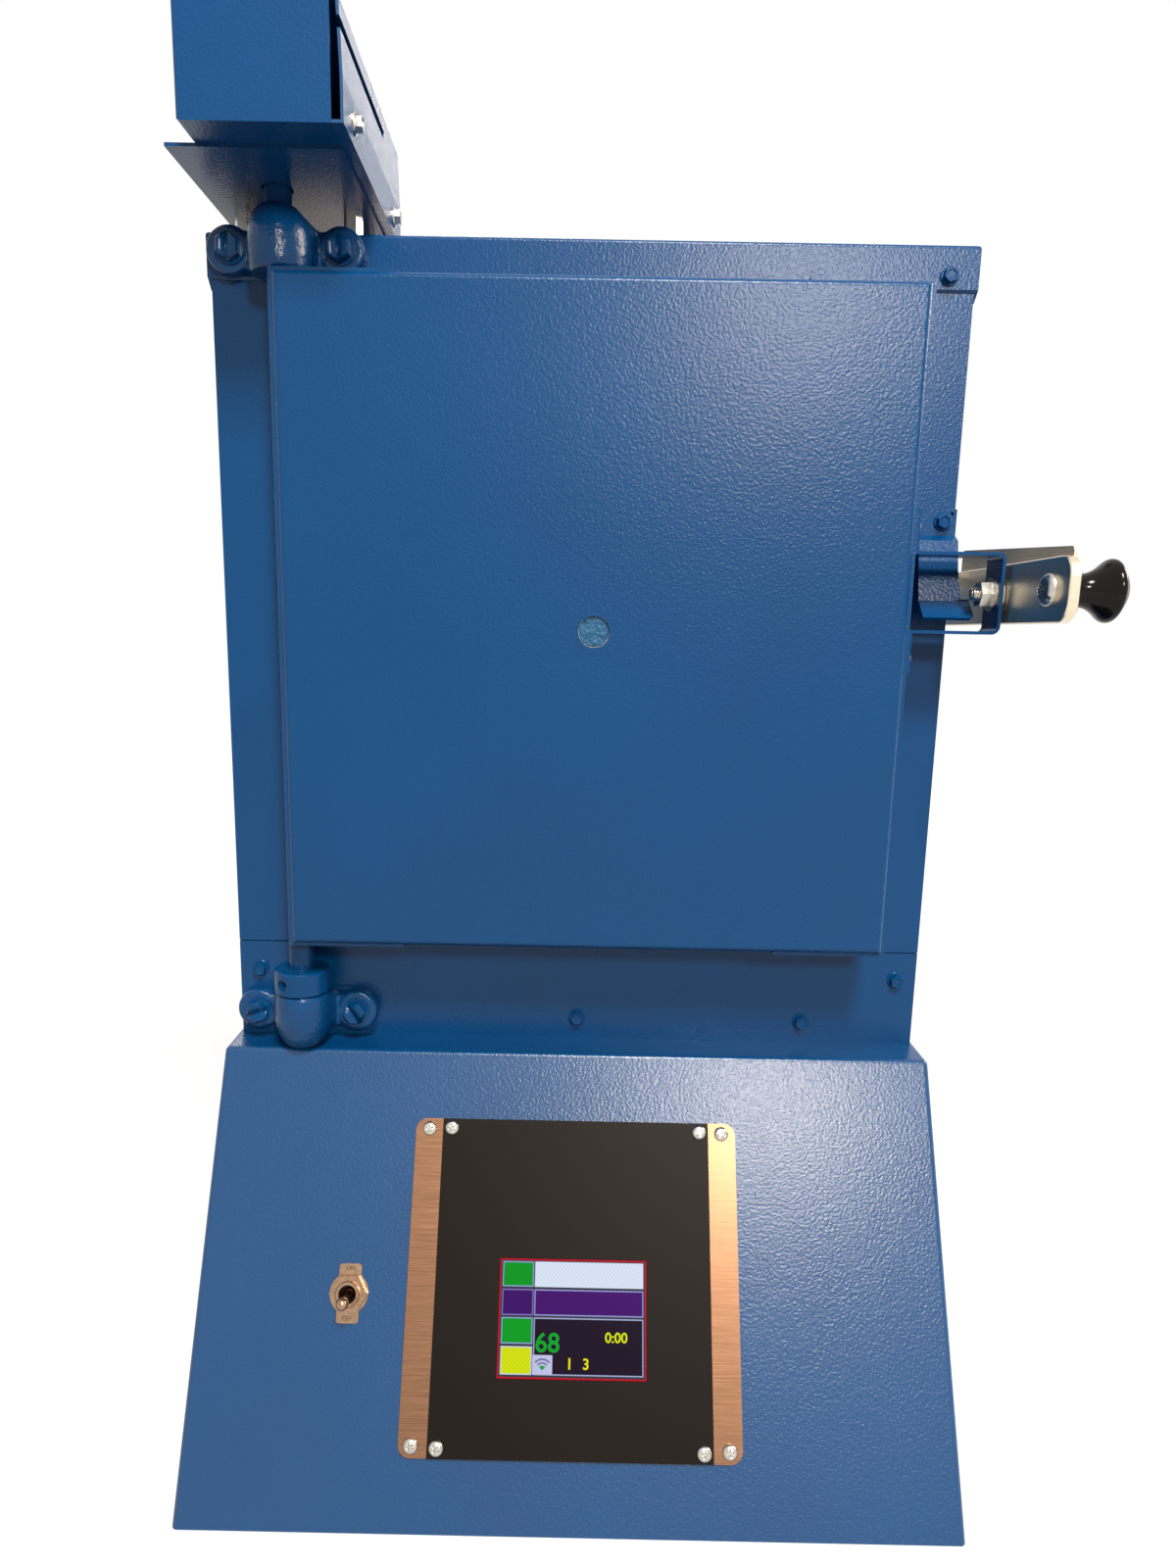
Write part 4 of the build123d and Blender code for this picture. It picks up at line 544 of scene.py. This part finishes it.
rod_x, rod_y, block_seat = -146.0, -17.5, -1.5
hub_curve = ((-14.5, 0), (-14.5, 8.2), (-13.6, 9.6), (-11.6, 11.2), (-8.4, 12.8), (-3.5, 14.2),
             (2, 14.7), (8, 14.6), (12.6, 14.1), (14.5, 13.2), (14.5, 0))
lug_reach, lug_radius = 26.7, 11.1
lug_curve = ((0, 0), (0, lug_radius), (6.2, lug_radius), (7.2, 10.5), (7.6, 9.6), (7.6, 0))
neck_rings = ((-11, 9.6), (0, 13.8), (11, 12.0))
neck_foot = ((-17, -8), (17, -8), (-17, 8), (17, 8), (-14, 10.4), (14, 10.4), (-14, -10.4), (14, -10.4))
foot_outline = ((-26, -1.5), (26, -1.5), (-25, -7.4), (25, -7.4), (-15, -8.2), (15, -8.2))
flare_outline = ((-21, -2), (21, -2), (-12.5, -13), (12.5, -13))
bore_radius, bore_reach = 6.55, 30


def cast_block(name, node, middle, upright_way):
    """One casting: a barrel-shaped hub whose neck flares to a foot with two round lugs."""
    centre = Vector((rod_x, rod_y, middle)) * mm
    shape = bmesh.new()
    turn(shape, [(h * upright_way, r) for h, r in hub_curve], 48, Matrix.Translation(centre))
    outward = Matrix.Rotation(math.pi / 2, 4, "X")
    for side in (-1, 1):
        lug = Matrix.Translation(Vector((rod_x + side * lug_reach, block_seat, middle)) * mm) @ outward
        turn(shape, lug_curve, 40, lug)
    around = [2 * math.pi * step / 24 for step in range(24)]
    hull(shape, [centre + Vector((r * math.cos(a), r * math.sin(a), h)) * mm
                 for h, r in neck_rings for a in around]
         + [Vector((rod_x + x, block_seat, middle + z)) * mm for x, z in neck_foot])
    for outline, half_height in ((foot_outline, 8.6), (flare_outline, 6.5)):
        hull(shape, [Vector((rod_x + x, y, middle + z)) * mm
                     for x, y in outline for z in (-half_height, half_height)])
    rough = solid(name + "_rough", shape)
    skin = rough.modifiers.new("skin", "REMESH")
    skin.mode = "VOXEL"
    skin.voxel_size = 0.8 * mm
    worn = rough.modifiers.new("worn", "SMOOTH")
    worn.factor = 0.5
    worn.iterations = 5
    rough = frozen(name + "_cast", rough)
    rough.name = name
    bore = bmesh.new()
    turn(bore, ((-bore_reach, 0), (-bore_reach, bore_radius), (bore_reach, bore_radius), (bore_reach, 0)),
         48, Matrix.Translation(centre))
    block = cut(rough, solid("bore", bore))
    block.data.shade_smooth()
    block.data.set_sharp_from_angle(angle=math.radians(50))
    block.data.materials.clear()
    block.data.materials.append(cast_enamel)
    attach(block, "kiln")
    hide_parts(node)


cast_block("cast_block_lower", "lower_pillow_block", 214.5, 1)
cast_block("cast_block_upper", "upper_pillow_block", 593.7, -1)

# Screws: hex washer heads hold the sheets, slotted hex bolts the cast blocks,
# and cross recess pan heads the controller. The heads on the case are painted.
set_heads, head_inputs, given = new_group("set_heads", (
    ("Geometry", "NodeSocketGeometry"), ("Head", "NodeSocketObject"),
    ("Material", "NodeSocketMaterial")))
tree = set_heads
facing = add(tree, "GeometryNodeInputNamedAttribute", {"Name": "facing"}, data_type="FLOAT_VECTOR")
turned_by = add(tree, "GeometryNodeInputNamedAttribute", {"Name": "turned_by"}, data_type="FLOAT")
spin = add(tree, "FunctionNodeEulerToRotation",
           {0: add(tree, "ShaderNodeCombineXYZ", {"Z": turned_by.outputs[0]}).outputs[0]})
aligned = add(tree, "FunctionNodeAlignRotationToVector", {"Vector": facing.outputs[0]}, axis="Z")
placed = add(tree, "FunctionNodeRotateRotation", {0: aligned.outputs[0], 1: spin.outputs[0]},
             rotation_space="LOCAL")
head = add(tree, "GeometryNodeObjectInfo", {"Object": given["Head"]})
heads = add(tree, "GeometryNodeInstanceOnPoints",
            {"Points": given["Geometry"], "Instance": head.outputs["Geometry"],
             "Rotation": placed.outputs[0]})
real = add(tree, "GeometryNodeRealizeInstances", {"Geometry": heads.outputs[0]})
coated = add(tree, "GeometryNodeSetMaterial", {"Geometry": real.outputs[0], "Material": given["Material"]})
add(tree, "NodeGroupOutput", {0: coated.outputs[0]})


def screws(name, head_form, seats, material, node, body):
    """Heads of one form on seats, each a place in mm, a direction and a turn in degrees."""
    mesh = bpy.data.meshes.new(name + "_seats")
    mesh.from_pydata([Vector(place) * mm for place, way, degrees in seats], [], [])
    mesh.attributes.new("facing", "FLOAT_VECTOR", "POINT")
    mesh.attributes.new("turned_by", "FLOAT", "POINT")
    for index, (place, way, degrees) in enumerate(seats):
        mesh.attributes["facing"].data[index].vector = way
        mesh.attributes["turned_by"].data[index].value = math.radians(degrees)
    points = bpy.data.objects.new(name + "_seats", mesh)
    bpy.context.scene.collection.objects.link(points)
    modifier = points.modifiers.new("heads", "NODES")
    modifier.node_group = set_heads
    modifier[head_inputs["Head"]] = head_form
    modifier[head_inputs["Material"]] = material
    piece = frozen(name, points)
    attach(piece, body)
    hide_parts(node)
    return piece


here = Matrix()
shape = bmesh.new()
turn(shape, ((0, 0), (0, 4.6), (0.5, 4.6), (0.95, 4.1), (0.95, 0)), 32, here)
turn(shape, ((0.5, 0), (0.5, 3.67), (3.3, 3.67), (3.8, 3.3), (3.8, 2.6), (3.3, 2.0), (3.3, 0)), 6, here)
hex_washer_head = solid("hex_washer_head", shape)

shape = bmesh.new()
turn(shape, ((0, 0), (0, 6.41), (3.3, 6.41), (4.2, 5.3), (4.2, 0)), 6, here)
hex_bolt_head = solid("hex_bolt_head", shape)
tool = bmesh.new()
hull(tool, [Vector((x, y, z)) * mm for x in (-8, 8) for y in (-0.7, 0.7) for z in (2.8, 6)])
hex_bolt_head = cut(hex_bolt_head, solid("slot_tool", tool))

shape = bmesh.new()
turn(shape, ((0, 0), (0, 3.6), (0.5, 3.6), (1.1, 3.3), (1.6, 2.6), (1.9, 1.6), (2.0, 0.8), (2.0, 0)),
     32, here)
pan_head = solid("pan_head", shape)
recess_floor, recess_taper = 0.7, 0.6
for long_x, long_y in ((2.0, 0.45), (0.45, 2.0)):
    tool = bmesh.new()
    hull(tool, [Vector((x * grow, y * grow, z)) * mm for z, grow in ((3, 1), (recess_floor, recess_taper))
                for y in (-long_y, long_y) for x in (-long_x, long_x)])
    pan_head = cut(pan_head, solid("recess_tool", tool))

front, rear, outer = (0, -1, 0), (0, 1, 0), (1, 0, 0)
slope = Vector((0, 0.4508, 0.8926))
panel_out = Vector((0, -0.8926, 0.4508))
panel_top = Vector((0, -21.6, 198.0))


def on_panel(x, down, out):
    """A place in mm on the sloped panel, from its top edge."""
    return panel_top + Vector((x, 0, 0)) - slope * down + panel_out * out


screws("painted_sheet_screws", hex_washer_head,
       [((-173.2, 0, 235.2), front, 12), ((173.2, 0, 235.2), front, 40), ((0, 0, 210.3), front, 5),
        ((123, 0, 210.3), front, 27), ((171.2, -1.5, 589.5), front, 18), ((177.7, -1.5, 476), front, 33),
        ((-176, 483, 230), rear, 10), ((176, 483, 230), rear, 50), ((-176, 483, 520), rear, 25),
        ((176, 483, 520), rear, 0)],
       smooth_enamel, "sheet_screws", "kiln")
screws("plated_cover_screws", hex_washer_head,
       [((-102, -56.7, 626.4), outer, 8), ((-102, 36.5, 625.2), outer, 40)],
       zinc_steel, "box_cover_screws", "kiln")
screws("painted_block_bolts", hex_bolt_head,
       [((-172, -10.2, 214.5), front, 20), ((-120, -10.2, 214.5), front, -55),
        ((-172, -10.2, 593.7), front, 88), ((-120, -10.2, 593.7), front, 92)],
       smooth_enamel, "pillow_bolts", "kiln")
screws("plated_controller_screws", pan_head,
       [(on_panel(0.2 + x, down, out), panel_out, degrees)
        for x, down, out, degrees in ((-64, 38.6, 2.1, 30), (64, 38.6, 2.1, 12), (-64.2, 185.3, 2.1, 50),
                                      (64.2, 185.3, 2.1, 75), (-75.5, 39.2, 1.5, 20), (75.5, 39.2, 1.5, 64),
                                      (-76.5, 184.6, 1.5, 35), (76.5, 184.6, 1.5, 8))],
       zinc_steel, "controller_screws", "kiln")
for form in (hex_washer_head, hex_bolt_head, pan_head):
    bpy.data.objects.remove(form)

# Sight plug: the face of the stopper is broken and lumpy under its paint, so
# it is raised and sunk by up to a third of a millimetre. The rest is turned.
plug_low, plug_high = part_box("sight_plug")
plug_place = Matrix.Translation((door_x, plug_low.y, door_z)) @ Matrix.Rotation(math.pi / 2, 4, "X")
plug_depth = (plug_high.y - plug_low.y) / mm
plug_radius, face_radius, face_depth, face_rings = 7.25, 6.9, 0.35, 18
lump_size, lump_height = 1.6 * mm, 0.24 * mm
crumb_size, crumb_height = 0.6 * mm, 0.10 * mm
bare_from = 3 * mm
shape = bmesh.new()
rings = [(-face_depth, face_radius * step / face_rings) for step in range(face_rings + 1)]
turn(shape, rings + [(-0.5, 7.15), (-1.2, plug_radius), (-4, plug_radius), (-plug_depth, plug_radius),
                     (-plug_depth, 0)], 72, plug_place)
for vertex in shape.verts:
    if vertex.co.y < plug_low.y + 0.45 * mm:
        vertex.co.y -= (lump_height * noise.noise(vertex.co / lump_size)
                        + crumb_height * noise.noise(vertex.co / crumb_size))
plug = solid("painted_sight_plug", shape, 60)
plug.data.materials.append(cracked_enamel)
plug.data.materials.append(ceramic)
for face in plug.data.polygons:
    face.material_index = 1 if face.center.y > plug_low.y + bare_from else 0
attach(plug, "door")
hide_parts("sight_plug")

# Pivot bolt: a quarter inch hex bolt, zinc plated. Its rolled thread, 1.27 mm
# from crest to crest, stands out of the nut inside the strap.
thread_pitch, thread_depth, thread_to = 1.27, 0.55, 190.2
shank_radius, tip_chamfer = 3.175, 0.7
bolt_from, bolt_face, bolt_to = 186.0, 206.5, 210.5
along_x = Matrix.Translation(Vector((0, -24.5, 440)) * mm) @ Matrix.Rotation(math.pi / 2, 4, "Y")
shape = bmesh.new()
steps = 28
rows = [bolt_from + 0.127 * row for row in range(29)] + [190.5, bolt_face]
rings = []
for x in rows:
    ring = []
    for step in range(steps):
        phase = ((x - bolt_from) / thread_pitch + step / steps) % 1.0
        crest = 1 - abs(2 * phase - 1)
        radius = shank_radius - (thread_depth * (1 - min(1, 1.25 * crest)) if x < thread_to else 0)
        radius -= max(0, tip_chamfer - (x - bolt_from))
        angle = 2 * math.pi * step / steps
        ring.append(shape.verts.new(along_x @ Vector((radius * math.cos(angle) * mm,
                                                      radius * math.sin(angle) * mm, x * mm))))
    rings.append(ring)
for one, two in zip(rings, rings[1:]):
    for step in range(steps):
        after = (step + 1) % steps
        shape.faces.new((one[step], one[after], two[after], two[step]))
shape.faces.new(rings[0])
shape.faces.new(rings[-1])
turn(shape, ((bolt_face, 0), (bolt_face, 6.41), (bolt_to - 0.8, 6.41), (bolt_to, 5.3), (bolt_to, 0)),
     6, along_x)
bolt = solid("threaded_pivot_bolt", shape)
bolt.data.materials.append(zinc_steel)
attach(bolt, "door")
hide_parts("pivot_bolt")

# Knob: a trumpet of black phenolic, moulded and polished, screwed to the lever
# from behind. It flares from a round neck to a broad rim with a domed end.
knob_place = Matrix.Translation(Vector((206.2, -78, 440)) * mm) @ Matrix.Rotation(math.pi / 2, 4, "Y")
knob_marks = ((0.0, 6.9), (0.25, 7.2), (2.4, 7.05), (4.5, 7.0), (7.2, 7.3), (9.6, 8.05), (11.8, 9.2),
              (13.9, 10.7), (15.6, 12.2), (17.0, 13.2), (18.4, 13.6), (19.7, 13.3), (20.7, 12.2),
              (21.5, 10.9), (22.6, 9.6), (23.7, 7.9), (24.6, 5.6), (25.2, 3.0), (25.4, 0.0))
hole_radius, hole_depth = 2.6, 14.0
line = [(0.0, hole_radius), knob_marks[0]]
marks = (knob_marks[0],) + knob_marks + (knob_marks[-1],)
for before, start, end, beyond in zip(marks, marks[1:], marks[2:], marks[3:]):
    for t in (1 / 3, 2 / 3, 1.0):
        line.append(tuple(0.5 * (2 * p + (q - o) * t + (2 * o - 5 * p + 4 * q - r) * t ** 2
                                 + (3 * p - o - 3 * q + r) * t ** 3)
                          for o, p, q, r in zip(before, start, end, beyond)))
line[-1] = knob_marks[-1]
line += [(hole_depth, 0.0), (hole_depth, hole_radius), (0.0, hole_radius)]
shape = bmesh.new()
turn(shape, line, 72, knob_place)
knob = solid("turned_knob", shape)
knob.data.materials.append(black_phenolic)
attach(knob, "latch")
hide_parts("latch_knob")

# Display fields: what the colour panel shows, as slabs of light a few
# hundredths of a millimetre thick on its glass, each in its own colour.
lit_fields, tree = new_material("lit_display_fields")
place = add(tree, "ShaderNodeTexCoord").outputs["Object"]
colour = add(tree, "ShaderNodeAttribute", attribute_name="field_colour").outputs["Color"]
rows = add(tree, "ShaderNodeMapping", {"Vector": place, "Rotation": (math.radians(-63.2), 0, 0)})
lines = add(tree, "ShaderNodeTexWave", {"Vector": rows.outputs[0], "Scale": 320.0, "Distortion": 0.6},
            bands_direction="DIAGONAL")
dim = add(tree, "ShaderNodeMapRange", {"Value": lines.outputs[0], "To Min": 0.86, "To Max": 1.0})
shade = add(tree, "ShaderNodeVectorMath", {0: colour, "Scale": dim.outputs[0]}, operation="SCALE")
light = add(tree, "ShaderNodeBsdfPrincipled",
            {"Base Color": linear("#050407"), "Roughness": 0.3, "Specular IOR Level": 0.06,
             "Emission Color": shade.outputs[0], "Emission Strength": 1.0})
add(tree, "ShaderNodeOutputMaterial", {"Surface": light.outputs[0]})

panel_turn = Matrix((Vector((1, 0, 0)), slope, panel_out)).transposed().to_4x4()
glass_left, glass_top = 0.2 - 36.5, 127.8 - 27.0
glass_wide, glass_high, glass_out = 73.0, 54.0, 1.9
shape = bmesh.new()
tint = shape.verts.layers.float_color.new("field_colour")


def tinted(start, colour):
    """Gives a colour to the vertices made since the start."""
    shape.verts.ensure_lookup_table()
    for vertex in shape.verts[start:]:
        vertex[tint] = linear(colour)


def field(left, right, top, bottom, colour, low=0.0, high=0.03):
    """One rectangle of the display, by its edges in parts of the glass."""
    start = len(shape.verts)
    hull(shape, [on_panel(glass_left + u * glass_wide, glass_top + v * glass_high, glass_out + out) * mm
                 for u in (left, right) for v in (top, bottom) for out in (low, high)])
    tinted(start, colour)


def digits(text, left, top, height, colour):
    """A number on the display: its left and top edges and its height, in parts of the glass."""
    curve = bpy.data.curves.new("digits", "FONT")
    curve.body = text
    curve.extrude = 0.01
    curve.offset = 0.016
    made =frozen("digits_mesh", bpy.data.objects.new("digits", curve))
    flat = made.data
    low_x = min(v.co.x for v in flat.vertices)
    low_y = min(v.co.y for v in flat.vertices)
    high_y = max(v.co.y for v in flat.vertices)
    grow = height * glass_high / (high_y - low_y)
    for vertex in flat.vertices:
        x = glass_left + left * glass_wide + (vertex.co.x - low_x) * grow
        down = glass_top + top * glass_high + (high_y - vertex.co.y) * grow
        vertex.co = on_panel(x, down, glass_out + 0.04 + (0.02 if vertex.co.z > 0 else -0.02)) * mm
    start = len(shape.verts)
    shape.from_mesh(flat)
    tinted(start, colour)
    bpy.data.objects.remove(made)


def arc(reach, thick, colour):
    """One quarter ring of the signal mark, by its outer radius and its thickness in mm."""
    start = len(shape.verts)
    for degrees in range(-45, 45, 15):
        hull(shape, [on_panel(glass_left + mark_u * glass_wide + r * math.sin(math.radians(a)),
                              glass_top + mark_v * glass_high - r * math.cos(math.radians(a)),
                              glass_out + out) * mm
                     for a in (degrees + 0.4, degrees + 14.6) for r in (reach - thick, reach)
                     for out in (0.055, 0.08)])
    tinted(start, colour)


for left, right, top, bottom in ((0, 1, 0, 0.012), (0, 1, 0.988, 1), (0, 0.009, 0.012, 0.988),
                                 (0.991, 1, 0.012, 0.988)):
    field(left, right, top, bottom, "#D2001F")
button, window = (0.02, 0.232), (0.24, 0.98)
line_wide, line_high = 0.007, 0.01
for (left, right), top, bottom, border, inside in (
        (button, 0.022, 0.238, "#8FA8DC", "#009A1E"), (window, 0.022, 0.238, "#DCE8FA", None),
        (button, 0.258, 0.478, "#8478C4", "#3E0A6A"), (window, 0.258, 0.478, "#9AA0E0", "#45086E"),
        (button, 0.495, 0.715, "#8FA8DC", "#00A020"), (button, 0.735, 0.968, "#C8D2F0", "#D6E400"),
        (window, 0.495, 0.968, "#A8B4DC", "#1B0A22")):
    field(left, right, top, bottom, border)
    if inside:
        field(left + line_wide, right - line_wide, top + line_high, bottom - line_high, inside, 0.01, 0.04)
field(0.236, 0.37, 0.803, 0.962, "#C4C8EC", 0.02, 0.05)
mark_u, mark_v = 0.303, 0.93
for reach, thick, colour in ((5.4, 0.8, "#6A6A9C"), (3.7, 0.7, "#6A6A9C"), (2.2, 2.0, "#00A03C")):
    arc(reach, thick, colour)
digits("68", 0.256, 0.617, 0.166, "#00A82A")
digits("0:00", 0.722, 0.606, 0.088, "#E4F000")
digits("1", 0.478, 0.824, 0.094, "#F0E800")
digits("3", 0.576, 0.824, 0.094, "#F0E800")
fields = solid("display_fields", shape)
fields.data.materials.append(lit_fields)
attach(fields, "kiln")

# Switch bushing: the neck of the power switch ends in a turned metal rim round
# the lever's bore. It covers the neck's end and its inside, outside the nut.
toggle_x, toggle_down = -111.3, 118.5
rim_line = ((0.4, 4.04), (4.9, 4.04), (5.26, 4.4), (5.26, 5.7), (4.9, 6.04), (3.45, 6.04), (3.45, 5.0),
            (0.4, 5.0), (0.4, 4.04))
shape = bmesh.new()
turn(shape, rim_line, 48, Matrix.Translation(on_panel(toggle_x, toggle_down, 0) * mm) @ panel_turn)
rim = solid("switch_bushing_rim", shape)
# The rim shares the switch ware's painted warm reflection.
rim.data.materials.append(warm_reflection_plating)
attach(rim, "kiln")

# Switch legend: the ears of the switch plate are stamped, and the stamping is
# filled with black.
black_fill, tree = new_material("black_stamping_fill")
place = add(tree, "ShaderNodeTexCoord").outputs["Object"]
worn = add(tree, "ShaderNodeTexNoise", {"Vector": place, "Scale": 900.0, "Detail": 2.0})
tone = add(tree, "ShaderNodeMix",
           {0: worn.outputs[0], 6: linear("#0E0C0B"), 7: linear("#2C2824")}, data_type="RGBA")
ink = add(tree, "ShaderNodeBsdfPrincipled", {"Base Color": tone.outputs[2], "Roughness": 0.6})
add(tree, "ShaderNodeOutputMaterial", {"Surface": ink.outputs[0]})
ear_reach, letter_height, letter_out = 11.6, 2.8, 0.82
for text, down in (("ON", toggle_down - ear_reach), ("OFF", toggle_down + ear_reach)):
    curve = bpy.data.curves.new("legend", "FONT")
    curve.body = text
    curve.size = letter_height
    curve.extrude = 0.02
    curve.align_x = "CENTER"
    curve.align_y = "CENTER"
    legend = frozen("switch_legend_" + text.lower(), bpy.data.objects.new("legend", curve))
    for vertex in legend.data.vertices:
        vertex.co = on_panel(toggle_x + vertex.co.x, down - vertex.co.y, letter_out + vertex.co.z) * mm
    legend.data.materials.append(black_fill)
    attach(legend, "kiln")
